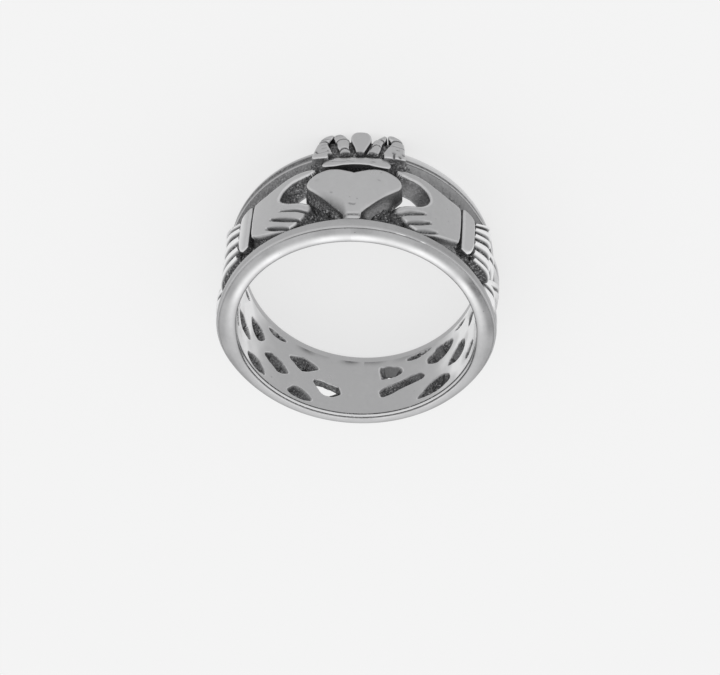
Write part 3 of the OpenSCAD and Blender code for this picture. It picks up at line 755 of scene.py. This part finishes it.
def band_piece(name, first, last, columns, rows, s, silver):
    """A stretch of the band between the rims: the grid runs from angle first to last and from the
    far shoulder to the near one, once in the bore and once where it comes out outside. Cells in
    the open part of an opening are left out, and points beside it are moved onto its outline along
    the slope of the distance. Where a strand passes over an opening, the inner sheet rises within
    0.16 mm to 0.4 mm below the strand's top. The openings' edges in the bore are rounded."""
    angle, v = np.meshgrid(np.linspace(first, last, columns + 1), np.linspace(0, 1, rows + 1),
                           indexing="ij")
    z = far_shoulder(angle, s) * (1 - v) + near_shoulder(angle, s) * v

    mid_angle = (angle[:-1, :-1] + angle[1:, 1:]) / 2
    mid_z = (z[:-1, :-1] + z[1:, 1:] + z[1:, :-1] + z[:-1, 1:]) / 4
    keep = held_cells(through_at(mid_angle, mid_z, s) > 0)
    k = np.pad(keep, 1, mode="edge").astype(int)
    around = k[:-1, :-1] + k[1:, :-1] + k[1:, 1:] + k[:-1, 1:]
    move = (around > 0) & (around < 4)
    for _ in range(3):
        a, h = angle[move], z[move]
        across, along, size = slope_of(lambda *at: through_at(*at, s), a, h)
        d = through_at(a, h, s)
        angle[move] = a - np.clip(d * across / size, -0.05, 0.05) / MID_MM
        z[move] = h - np.clip(d * along / size, -0.05, 0.05)
    hole = gap_at(angle, z, s)[0]
    through = through_at(angle, z, s)
    through[move] = 0
    hole[move & (np.abs(hole) < 0.03)] = 0
    out_angle, out_z = outside_at(angle, z, s)
    r, dark, wear_and_sheen = band_height(out_angle, out_z, s, through)
    bore = s.bore_r + 0.05 * rounding(np.clip(hole / 0.1, 0, 1))
    under = ramp(-hole, 0.0, 0.16)
    bore = bore + (r - 0.4 - bore) * under
    in_angle, in_z = angle + (out_angle - angle) * under, z + (out_z - z) * under
    points, faces, border = shell(about_bore(out_angle, r, out_z), about_bore(in_angle, bore, in_z),
                                  keep, [0.12, 0.35, 0.65, 0.9])
    half = angle.size
    # Painted highlights in the bore at the left and right and along the openings' edges; darker along the
    # far edge at the back and where the bore rises under a strand.
    painted_highlight, bore_dark = bore_tone(angle, z)
    hidden = ramp(-hole, 0.0, 0.03)
    painted_highlight = np.maximum(painted_highlight, 0.45 * np.exp(-((hole - 0.05) / 0.045) ** 2)) * (1 - hidden)
    bore_dark = np.maximum(bore_dark, 0.85 * hidden)
    x, y, h = points[2 * half:].T
    around = np.degrees(np.arctan2(x, y))
    walls = np.clip(0.78 + 0.16 * waves(around * 0.17, h, 3.5, 21), 0.5, 0.95)
    walls = np.where(np.abs(around) < 45, np.where(x < 0, 0.82, 0.66), walls)
    tarnish_and_shade = np.concatenate([dark.ravel(), bore_dark.ravel(), walls])
    worn_and_sheen = np.concatenate([wear_and_sheen.ravel(), painted_highlight.ravel(), np.zeros(len(walls))])
    new_piece(name, points, [faces], silver, s, tarnish_and_shade, worn_and_sheen, border)


def swept_ring(name, section, s, silver, columns=720):
    """A closed ring: a closed cross-section at equal steps of angle round the bore, each point
    joined to the next in its section and to the same one in the next section."""
    angle = np.linspace(0, 360, columns, endpoint=False)[:, None]
    r, z, dark, wear_and_sheen, corner = section(angle, s).arrays()
    a = np.arange(r.size).reshape(r.shape)
    b = np.roll(a, -1, 0)
    faces = np.stack([a, b, np.roll(b, -1, 1), np.roll(a, -1, 1)], -1).reshape(-1, 4)
    new_piece(name, about_bore(angle, r, z).reshape(-1, 3), [faces], silver, s, dark.ravel(),
              wear_and_sheen.ravel(), corner.ravel())


class Section:
    """A rim's cross-section: its points in order, each for a whole column of angles. Heights are
    counted away from the band's middle, so that both rims are written alike."""

    def __init__(self, angle, side, s):
        self.angle, self.side, self.s, self.points = angle, side, s, []

    def add(self, r, z, dark=0.0, wear_and_sheen=0.0, corner=False):
        self.points.append([np.broadcast_to(v, self.angle.shape) for v in (r, z, dark, wear_and_sheen, corner)])

    def flat(self, r):
        """Height of the face's plane at a radius."""
        return face_z(self.angle, r, self.s)

    def shoulder(self, out, edge, size, dark, wear_and_sheen):
        """The rounding at the inner shoulder, a quarter circle, and the way down inside the band."""
        for q in np.radians([18, 36, 54, 72, 90]):
            self.add(out - size * (1 - math.cos(q)), edge + size - size * math.sin(q), dark, wear_and_sheen)
        inner = out - size
        for t, tone, corner in ((0.06, 0.6, False), (0.3, 0.95, False), (1.0, 0.95, True)):
            self.add(inner - (inner - ROOT_R) * t, edge, tone, 0.0, corner)

    def arrays(self):
        r, z, dark, wear_and_sheen, corner = (np.concatenate(column, 1) for column in zip(*self.points))
        return r, z * self.side, dark, wear_and_sheen, corner


def near_rim(angle, s):
    """Cross-section of the near rim: up the bore, over the mouth's slope between two fine lines
    that show at the back, over the rounded face, down the crease, along the outer flat and round
    the shoulder. It is wider at the left and right, and the crease is deepest at the heart."""
    p = Section(angle, 1, s)
    about = np.abs((angle + 180) % 360 - 180)
    out = shifted(angle, s.rim_r, s.rim_shift)
    out = out - 0.045 * ramp(-cos(angle), 0.5, 1) + 0.3 * np.exp(-((about - 94) / 22) ** 2)
    edge, mouth = near_shoulder(angle, s), p.flat(s.bore_r) - 0.46
    line = ramp(-cos(angle), -0.1, 0.2)
    slope = 0.05 + 0.95 * ramp(-cos(angle), 0.0, 0.5)
    p.add(s.bore_r, edge, corner=True)
    for t in (0.5, 0.95):
        p.add(s.bore_r, edge + (mouth - edge) * t)
    p.add(s.bore_r, mouth - 0.03, 0.3 * line)
    # The mouth's slope carries a painted highlight strip between the fine dark lines.
    for wide, high, dark, wear_and_sheen in ((0.01, 0.0, line, 0.0), (0.04, 0.05, line, 0.0), (0.06, 0.07, 0.0, 0.2),
                                   (0.16, 0.20, 0.0, 0.3), (0.175, 0.21, line, 0.0),
                                   (0.215, 0.23, line, 0.0)):
        p.add(s.bore_r + wide * slope, mouth + high, dark, wear_and_sheen)
    start = s.bore_r + 0.23 * slope
    end = out - 0.25 * ramp(cos(angle), -1.2, 0.6) - 0.03
    front = ramp(cos(angle), -0.3, 0.55)
    uneven = 1 + 0.3 * waves(angle * MID_MM, 0, 3.0, 12)
    # Painted shade on the face at the left and right, and on its outer half towards the right.
    painted_side_shade = 0.13 * np.exp(-((about - 97) / 26) ** 2)
    painted_right_shade = 0.25 * np.exp(-((angle - 68) / 16) ** 2)
    for q in np.linspace(-0.99, 0.99, 21):
        t = (q + 1) / 2
        r = start + (end - start) * t
        foot = (0.24 * (1 - t) + 0.17 * t) * (0.7 + 0.3 * front)
        # A painted highlight on the face's inner part, strong in front, and at the back one by the mouth.
        # The face's darkness is a little patina plus painted shade on its outer half and, in front, at its
        # inner edge.
        inner = np.exp(-((t - 0.2 - 0.17 * front) / 0.24) ** 2) * (0.10 + 0.75 * front)
        painted_mouth_highlight = 0.3 * math.exp(-((t - 0.06) / 0.07) ** 2) * ramp(-cos(angle), 0.2, 0.7)
        outer = float(ramp(t, 0.5, 0.8))
        tone = 0.05 + outer * (0.12 + 0.10 * front + painted_right_shade) + 0.15 * front * (t < 0.1) + painted_side_shade
        wear_and_sheen = np.clip((inner + painted_mouth_highlight) * uneven, 0, 1)
        p.add(r, p.flat(r) - foot * (1 - (1 - abs(q) ** 2.3) ** 0.6), tone * uneven, wear_and_sheen)
    top_line = ramp(cos(angle), 0.82, 0.97)
    crease = 0.02 + 0.10 * top_line
    # A broken painted highlight along the outer rounding at the right.
    painted_glint = np.exp(-((angle - 27) / 12) ** 2) * np.clip(waves(angle * MID_MM, 0, 1.3, 13) * 2, 0, 1)
    grey = 0.15 + 0.2 * np.exp(-((angle - 42) / 22) ** 2)
    bevel = out - end
    p.add(end + 0.04 * bevel, p.flat(end) - 0.17 - crease, 0.2 + 0.8 * top_line)
    p.add(end + 0.18 * bevel, p.flat(end) - 0.16 - crease, 0.2 + 0.8 * top_line)
    p.add(end + 0.25 * bevel, p.flat(end) - 0.15, 0.1, painted_glint)
    p.add(end + 0.45 * bevel, p.flat(end) - 0.165, 0.1, painted_glint)
    p.add(end + 0.65 * bevel, p.flat(out) - 0.20, grey)
    p.add(end + 0.9 * bevel, p.flat(out) - 0.26, grey)
    low, size = p.flat(out) - 0.34 - 0.16 * ramp(-cos(angle), 0.2, 0.8), 0.06
    for t in (0.25, 0.55, 0.72, 0.82, 1.0):
        p.add(out, low + (edge + size - low) * t, grey)
    # A painted highlight on the shoulder's rounding.
    p.shoulder(out, edge, size, 0.1, 0.8)
    return p


def far_rim(angle, s):
    """Cross-section of the far rim: up the bore, round the mouth, over the flat face, round its
    outside, with a painted highlight at the right, along the outer flat, which has a painted
    highlight and a dark line at the right and is dark at the left, and round the shoulder."""
    p = Section(angle, -1, s)
    out, edge = shifted(angle, s.rim_r - s.far_less, s.rim_shift), -far_shoulder(angle, s)
    right = ramp(angle, 8, 22) * (1 - ramp(angle, 58, 74))
    lip = s.bore_r + 0.24
    p.add(s.bore_r, edge, corner=True)
    for q in np.radians(np.arange(7) * 15):
        p.add(lip - 0.22 * math.cos(q), p.flat(lip) - 0.10 - 0.22 * (1 - math.sin(q)))
    for t in np.linspace(0.08, 0.62, 7):
        r = lip + (out - lip) * t
        p.add(r, p.flat(r) - 0.10 * np.clip(1 - t / 0.3, 0, 1) ** 2)
    # A painted highlight on the outside's rounding at the right.
    for q in np.radians(np.arange(9) * 11.25):
        r = out - 0.42 * (1 - math.sin(q))
        p.add(r, p.flat(r) - 0.5 * (1 - math.cos(q)), 0.0, 0.5 * right)
    low, size = p.flat(out) - 0.52, 0.10
    front = ramp(cos(angle), 0.2, 0.6)
    # The last column is a painted highlight on the outer flat at the right.
    for t, left_tone, right_tone, painted_highlight in (
            (0.25, 0.75, 0.05, 0.4), (0.55, 0.75, 0.1, 0.4), (0.72, 0.75, 0.75, 0.0),
            (0.82, 0.6, 0.75, 0.0), (1.0, 0.35, 0.5, 0.0)):
        tone = left_tone + (right_tone - left_tone) * right
        p.add(out, low + (edge + size - low) * t, tone * front, painted_highlight * right)
    # A faint painted highlight on the shoulder's rounding.
    p.shoulder(out, edge, size, 0.35 * front, 0.3)
    return p


def raised_piece(name, curve, middle, top, s, silver, turn=0.0, base=10.9, flare=0.16, edge=0.14,
                 share=1.0, rows=26, side_dark=0.75):
    """A raised solid on a closed outline of [x, z] in the plane that faces the direction of the
    heart, then turned about the bore and kept above the far face. Its wall climbs from within the
    band and leans out below by flare times share, as the cube of the height that is left. Its top
    rises by a round edge and follows top(x, z, inset), which gives radius, darkness, and brightness
    from rubbing and painted highlights."""
    count = len(curve)
    step = np.roll(curve, -1, 0) - np.roll(curve, 1, 0)
    out = np.stack([step[:, 1], -step[:, 0]], -1) / np.linalg.norm(step, axis=1)[:, None]
    if ((curve - middle) * out).sum() < 0:
        out = -out
    lip = top(curve[:, 0], curve[:, 1], np.zeros(count))[0] - edge
    rings, dark, wear_and_sheen = [], [], []
    for h in (0.0, 0.25, 0.45, 0.6, 0.75, 0.88, 0.98):
        r = ROOT_R + (lip - ROOT_R) * h
        t = np.clip((r - base) / np.maximum(lip - base, 0.1), 0, 1)
        p = curve + out * (flare * share * (1 - t) ** 3)[:, None]
        rings.append((p[:, 0], r, p[:, 1]))
        dark.append(side_dark * (1 - 0.5 * t ** 3))
        wear_and_sheen.append(np.zeros(count))
    for w in 1 - (np.arange(rows) / rows) ** 1.5:
        p = middle + (curve - middle) * w
        inset = inside_by(p[:, 0], p[:, 1], curve) if w < 1 else np.zeros(count)
        r, tone, worn_and_sheen = top(p[:, 0], p[:, 1], inset)
        rings.append((p[:, 0], r - edge * rounding(np.clip(inset / edge, 0, 1)), p[:, 1]))
        dark.append(tone)
        wear_and_sheen.append(worn_and_sheen)
    x, y, z = (np.stack([ring[i] for ring in rings]) for i in range(3))
    at = np.arange(x.size).reshape(x.shape)
    a, b, first, last = at[:-1], at[1:], at[0], at[-1]
    quads = np.stack([a, np.roll(a, -1, 1), np.roll(b, -1, 1), b], -1).reshape(-1, 4)
    tris = np.concatenate([np.stack([last, np.roll(last, -1), np.full(count, x.size)], -1),
                           np.stack([np.roll(first, -1), first, np.full(count, x.size + 1)], -1)])
    peak, tone, worn_and_sheen = top(np.array([middle[0]]), np.array([middle[1]]), np.array([9.0]))
    ends = [[middle[0], peak[0], middle[1]], [middle[0], ROOT_R, middle[1]]]
    points = np.concatenate([np.stack([x, y, z], -1).reshape(-1, 3), ends])
    x, y = points[:, 0].copy(), points[:, 1].copy()
    points[:, 0], points[:, 1] = x * cos(turn) + y * sin(turn), y * cos(turn) - x * sin(turn)
    floor = -(s.half_w + points[:, 1] * math.tan(s.tilt)) + 0.012
    points[:, 2] = np.maximum(points[:, 2], floor)
    new_piece(name, points, [quads, tris], silver, s, np.concatenate([*dark, tone, [1]]),
              np.concatenate([*wear_and_sheen, worn_and_sheen, [0]]))


def edge_wear_and_sheen(inset, strength, width=0.07):
    """Rubbed brightness and painted highlight along the edge of a raised part: a bell curve just inside its
    outline.
    """
    return strength * np.exp(-((inset - 0.05) / width) ** 2)


def build_heart(s, silver):
    """The heart: a sphere's cap with a crisp edge, softer at the lower left, whose walls lean out
    at their foot between its widest place and its point."""
    curve = heart_curve(s)
    dome = 8.7

    def top(x, z, inset):
        r = s.heart_r - dome + np.sqrt(dome ** 2 - x ** 2 - (z - 0.3) ** 2)
        low = ramp(z, 1.0, 3.2)
        left = low * (x < 0) * ramp(-x, 0.2, 0.8)
        q = np.clip(inset / (0.28 + 0.55 * left), 0, 1)
        deep, dark = cuts(x, z, HEART_MARKS)
        r = r - (0.10 + 0.30 * left) * (1 - q) ** 2 - deep - 0.12 * ramp(z, 3.95, 4.15)
        # Painted shade on the lower left, where the dome falls away.
        dark = np.maximum(dark, 0.75 * low * (1 - q) ** 1.5 * ramp(-x, 0.1, 0.8))
        dark = np.maximum(dark, 0.8 * np.exp(-((z - 4.1) / 0.06) ** 2))
        # A painted highlight along the edge, except low down.
        return r, dark, edge_wear_and_sheen(inset, 0.2) * (1 - low)

    x, z = curve.T
    right = ramp(x, -0.3, 0.3)
    share = 0.03 + ramp(z, 1.3 * right, 2.3) * (1 - ramp(z, 3.4, 4.0)) * (np.abs(x) > 0.3)
    raised_piece("heart", curve, np.array([0.0, 1.3]), top, s, silver, share=share, rows=40,
                 flare=0.62, edge=0.07, side_dark=0.9 - 0.25 * right)


def build_crown_point(name, s, silver):
    """A point of the crown: its top lies on the crown's circle, softened towards its outline and
    cut by cross grooves into beads and petals. The inner ones sink into a dark line at the bar."""
    outline, soft, drop, lines = CROWN[name]
    curve = smooth_curve(np.array(outline) * [1, 1.02], 150)

    def top(x, z, inset):
        q = np.clip(inset / soft, 0, 1)
        deep, dark = cuts(x, z, lines)
        inner = np.abs(x) < 2.3
        r = np.sqrt(s.crown_r ** 2 - x ** 2) - 0.01 - drop * (1 - q) ** 2
        r = r - 0.55 * ramp(z, -2.98, -2.84) * inner
        dark = np.maximum(dark, 0.95 * ramp(z, -3.02, -2.93) * inner)
        # Painted highlight along the edge.
        return r - deep, dark, edge_wear_and_sheen(inset, 0.2) * (1 - dark)

    outer = name in ("left", "right")
    raised_piece("crown_" + name, curve, np.array(outline).mean(0), top, s, silver, edge=0.06, rows=40,
                 base=11.0, flare=0.55, side_dark=0.85,
                 share=0.1 + 0.9 * ramp(curve[:, 1], -3.3, -2.7) * outer)


def build_crown_seat(s, silver):
    """The dark, rough ground between the crown's points, 0.55 mm below them."""
    def top(x, z, inset):
        r = np.sqrt(s.crown_r ** 2 - x ** 2) - 0.55 + 0.05 * waves(x, z, 0.4, 6)
        return r, np.full(np.shape(x), 0.8), np.zeros(np.shape(x))

    raised_piece("crown_seat", smooth_curve(CROWN_SEAT, 150), np.array([0.2, -3.8]), top, s, silver,
                 edge=0.1, rows=40, base=11.0, flare=0.2, side_dark=0.8)


def build_bar(s, silver):
    """The bar below the crown: a strip that follows the bore's circle, with a few cuts."""
    def top(x, z, inset):
        deep, dark = cuts(x, z, BAR_MARKS)
        q = np.clip(inset / 0.2, 0, 1)
        r = np.sqrt(s.bar_r ** 2 - x ** 2) - 0.05 * (1 - q) - deep
        # Painted highlight along the edge.
        return r, dark, edge_wear_and_sheen(inset, 0.25, 0.06)

    raised_piece("crown_bar", smooth_curve(BAR, 170), np.array([0.0, -2.05]), top, s, silver,
                 edge=0.07, rows=18, base=11.3, flare=0.04, side_dark=0.95)


def build_cuff(side, s, silver):
    """A cuff: a flat bar across the wrist on the bore's circle, with a sloped edge all round that
    carries a painted highlight on one side, and at the left a painted highlight over its top as well."""
    def top(x, z, inset):
        q = np.clip(inset / 0.17, 0, 1)
        r = np.sqrt(s.cuff_r ** 2 - x ** 2) - 0.12 * (1 - q)
        # Painted highlight: along the edge on the lit side, and at the left over the top.
        lit = ramp(x, -0.5, 0.3) if side > 0 else 1 - ramp(x, -0.9, 0.6)
        edge = (0.2 + 0.8 * lit) * (1 - ramp(inset, 0.12, 0.28))
        return r, np.zeros(np.shape(x)), np.maximum(edge, 0 if side > 0 else 0.75 * lit)

    raised_piece("cuff_right" if side > 0 else "cuff_left", smooth_curve(np.array(CUFF) * [side, 1], 160),
                 np.zeros(2), top, s, silver, turn=side * s.cuff_at, edge=0.05, rows=22, base=10.95,
                 flare=0.03, side_dark=0.9)


class Value:
    """A shader socket that takes part in sums: each step of an expression adds a Math node."""

    def __init__(self, tree, socket):
        self.tree, self.socket = tree, socket

    def math(self, operation, *values):
        node = self.tree.nodes.new("ShaderNodeMath")
        node.operation = operation
        for slot, value in zip(node.inputs, values):
            if isinstance(value, Value):
                self.tree.links.new(value.socket, slot)
            else:
                slot.default_value = value
        return Value(self.tree, node.outputs[0])

    def __add__(self, other):
        return self.math("ADD", self, other)

    def __sub__(self, other):
        return self.math("SUBTRACT", self, other)

    def __rsub__(self, other):
        return self.math("SUBTRACT", other, self)

    def __mul__(self, other):
        return self.math("MULTIPLY", self, other)

    def __radd__(self, other):
        return self + other

    def __rmul__(self, other):
        return self * other

    def clamp(self):
        return self.math("MINIMUM", self.math("MAXIMUM", self, 0.0), 1.0)


class Shader:
    """A node tree, emptied: node() makes any node from its type, settings and inputs. An input is
    named by its socket, with _ for a space, or by i and its number."""

    def __init__(self, tree):
        self.tree = tree
        tree.nodes.clear()

    def node(self, kind, settings=None, **inputs):
        node = self.tree.nodes.new("ShaderNode" + kind)
        for key, value in (settings or {}).items():
            setattr(node, key, value)
        for key, value in inputs.items():
            slot = node.inputs[int(key[1:]) if key[1:].isdigit() else key.replace("_", " ")]
            if isinstance(value, Value):
                self.tree.links.new(value.socket, slot)
            else:
                slot.default_value = value
        return node

    def out(self, node, key=0):
        return Value(self.tree, node.outputs[key])

    def made(self, kind, settings=None, **inputs):
        """A node's first output, for the nodes that are used for it alone."""
        return self.out(self.node(kind, settings, **inputs))


def new_material(name):
    material = bpy.data.materials.new(name)
    material.use_nodes = True
    return material


def silver_material():
    """Cast silver: satin where it is polished, dark and grainy where the stored darkness (patina and
    painted shade) is high, brighter where the stored brightness (rubbing and painted highlights) is
    high, with light specks in the dark ground as painted glints, small pits and a faint unevenness.
    All patterns follow Object coordinates in millimetres."""
    found = bpy.data.materials.get("cast_silver")
    if found:
        return found
    f = bpy.context.scene.ring_finish
    material = new_material("cast_silver")
    m = Shader(material.node_tree)
    place = m.out(m.node("TexCoord"), "Object")
    place = m.out(m.node("VectorMath", {"operation": "SCALE"}, i0=place, Scale=1000.0))

    def noise(scale, detail=2.0, rough=0.5):
        return m.out(m.node("TexNoise", Vector=place, Scale=scale, Detail=detail, Roughness=rough), "Fac")

    def mix(factor, first, second):
        return m.out(m.node("Mix", {"data_type": "RGBA"}, Factor=factor, i6=first, i7=second), 2)

    # The stored darkness includes painted shade; the stored brightness includes painted highlights.
    tarnish_and_shade = m.out(m.node("Attribute", {"attribute_name": "tarnish_and_shade"}), "Fac")
    wear_and_sheen = m.out(m.node("Attribute", {"attribute_name": "wear_and_sheen"}), "Fac")
    grain, fine = noise(5.5, 3.0, 0.65), noise(16.0)
    cloud = noise(0.9, 3.0) - 0.5
    deep = (tarnish_and_shade * 3.0 - 1.7).clamp()
    # Light specks in the dark ground: painted glints.
    painted_glint_fleck = ((noise(7.0, 1.0) - 0.62) * 12.0).clamp() * deep
    grainy = (grain - 0.5) * (0.5 + deep * 2.1) * tarnish_and_shade
    smear = (noise(2.3) - 0.5) * 0.12 + cloud * 0.14
    dark = (tarnish_and_shade * 1.05 + grainy + smear - painted_glint_fleck * 0.55).clamp()
    pit = m.out(m.node("TexVoronoi", {"feature": "F1"}, Vector=place, Scale=0.9), "Distance")
    pit = (1 - pit * 14.0).clamp()
    bright = (wear_and_sheen * 0.95 + painted_glint_fleck * 0.4 + cloud * 0.25).clamp()
    light = mix(bright, (*f.silver, 1.0), (0.95, 0.95, 0.955, 1.0))
    base = mix((dark + pit * 0.6).clamp(), light, (*f.tarnish_and_shade, 1.0))
    rough = (f.satin + cloud * 0.12 + dark * 0.18).clamp()
    height = (grain - 0.5) * dark + (fine - 0.5) * 0.10 - pit * 0.5
    bump = m.made("Bump", Height=height, Distance=0.00010, Strength=0.6)
    shade = m.made("BsdfPrincipled", Metallic=1.0, Base_Color=base, Roughness=rough, Normal=bump)
    m.node("OutputMaterial", Surface=shade)
    return material


class RING_OT_rims(bpy.types.Operator):
    """Adds the two plain rims"""
    bl_idname = "ring.rims"
    bl_label = "Rims"

    def execute(self, context):
        s, silver = sizes(), silver_material()
        swept_ring("rim_near", near_rim, s, silver)
        swept_ring("rim_far", far_rim, s, silver)
        return {"FINISHED"}


class RING_OT_front(bpy.types.Operator):
    """Adds the front of the band with the hands and the openings beside the heart"""
    bl_idname = "ring.front"
    bl_label = "Front and hands"

    def execute(self, context):
        s, silver = sizes(), silver_material()
        band_piece("front_left", -54, 0, 226, 150, s, silver)
        band_piece("front_right", 0, 54, 226, 150, s, silver)
        return {"FINISHED"}


class RING_OT_shank(bpy.types.Operator):
    """Adds the woven, pierced shank, right and left"""
    bl_idname = "ring.shank"
    bl_label = "Woven shank"

    def execute(self, context):
        s, silver = sizes(), silver_material()
        band_piece("shank_right", 54, 180, 350, 126, s, silver)
        band_piece("shank_left", -180, -54, 350, 126, s, silver)
        return {"FINISHED"}


class RING_OT_heart(bpy.types.Operator):
    """Adds the heart"""
    bl_idname = "ring.heart"
    bl_label = "Heart"

    def execute(self, context):
        build_heart(sizes(), silver_material())
        return {"FINISHED"}


class RING_OT_crown(bpy.types.Operator):
    """Adds the crown's points and the bar below them"""
    bl_idname = "ring.crown"
    bl_label = "Crown"

    def execute(self, context):
        s, silver = sizes(), silver_material()
        for name in CROWN:
            build_crown_point(name, s, silver)
        build_crown_seat(s, silver)
        build_bar(s, silver)
        return {"FINISHED"}


class RING_OT_cuffs(bpy.types.Operator):
    """Adds a cuff at each wrist"""
    bl_idname = "ring.cuffs"
    bl_label = "Cuffs"

    def execute(self, context):
        s, silver = sizes(), silver_material()
        build_cuff(1, s, silver)
        build_cuff(-1, s, silver)
        return {"FINISHED"}


class RING_OT_stage(bpy.types.Operator):
    """Adds the floor, the light and the camera"""
    bl_idname = "ring.stage"
    bl_label = "Stage"

    def execute(self, context):
        scene = context.scene
        scene.view_settings.view_transform = "Standard"
        self.floor(scene)
        self.light(scene)
        self.camera(scene)
        return {"FINISHED"}

    def floor(self, scene):
        """A plain floor that takes a faint shadow: mostly its own glow, and for the rest matt."""
        mesh = bpy.data.meshes.new("floor")
        mesh.from_pydata([(-1, -1, 0), (1, -1, 0), (1, 1, 0), (-1, 1, 0)], [], [(0, 1, 2, 3)])
        floor = bpy.data.objects.new("floor", mesh)
        scene.collection.objects.link(floor)
        pale = (*scene.ring_finish.floor, 1.0)
        material = new_material("pale_floor")
        m = Shader(material.node_tree)
        both = m.made("MixShader", Fac=0.25, i1=m.made("Emission", Color=pale, Strength=1.0),
                      i2=m.made("BsdfDiffuse", Color=pale))
        m.node("OutputMaterial", Surface=both)
        mesh.materials.append(material)

    def light(self, scene):
        """A soft studio all round, brighter from above."""
        world = bpy.data.worlds.new("studio")
        world.use_nodes = True
        sky = Shader(world.node_tree)
        toward = sky.out(sky.node("TexCoord"), "Generated")
        height = sky.out(sky.node("SeparateXYZ", Vector=toward), "Z")
        back = sky.made("Background", Color=(1, 1, 1, 1), Strength=(height * 0.5 + 0.72).clamp() * 1.15)
        sky.node("OutputWorld", Surface=back)
        scene.world = world

    def camera(self, scene):
        """The camera looks from 0.3 m away along the direction found from the photograph, with the
        focal length and shift, in pixels of a frame 720 wide, that were found with it."""
        s = sizes()
        toward = np.array([0.0600, 0.5793, 0.8129])
        right = np.array([0.9982, -0.0268, -0.0545])
        toward /= np.linalg.norm(toward)
        right -= toward * (right @ toward)
        right /= np.linalg.norm(right)
        up = np.cross(toward, right)
        place = np.array([0, -s.middle_y, s.rest]) * MM + toward * 0.3
        lens = bpy.data.cameras.new("camera")
        lens.sensor_width, lens.lens, lens.clip_start = 36.0, 3606 / 720 * 36, 0.01
        lens.shift_x, lens.shift_y = 1.11 / 720, -41.4 / 720
        camera = bpy.data.objects.new("camera", lens)
        camera.matrix_world = Matrix([[right[i], up[i], toward[i], place[i]] for i in range(3)]
                                     + [[0, 0, 0, 1]])
        scene.collection.objects.link(camera)
        scene.camera = camera


OPERATORS = (RING_OT_rims, RING_OT_front, RING_OT_shank, RING_OT_heart, RING_OT_crown,
             RING_OT_cuffs, RING_OT_stage)


class RING_PT_panel(bpy.types.Panel):
    """Sizes, finish and pieces of the ring"""
    bl_idname = "RING_PT_panel"
    bl_label = "Claddagh ring"
    bl_space_type = "VIEW_3D"
    bl_region_type = "UI"
    bl_category = "Ring"

    def draw(self, context):
        for group in (context.scene.ring_sizes, context.scene.ring_finish):
            box = self.layout.box()
            for name in group.__annotations__:
                box.prop(group, name)
        for operator in OPERATORS:
            self.layout.operator(operator.bl_idname)


CLASSES = (RingSizes, RingFinish, *OPERATORS, RING_PT_panel)


def register():
    for each in CLASSES:
        bpy.utils.register_class(each)
    bpy.types.Scene.ring_sizes = PointerProperty(type=RingSizes)
    bpy.types.Scene.ring_finish = PointerProperty(type=RingFinish)


def unregister():
    del bpy.types.Scene.ring_sizes, bpy.types.Scene.ring_finish
    for each in reversed(CLASSES):
        bpy.utils.unregister_class(each)


def main():
    register()
    for operator in OPERATORS:
        group, name = operator.bl_idname.split(".")
        getattr(getattr(bpy.ops, group), name)()


if __name__ == "__main__":
    main()
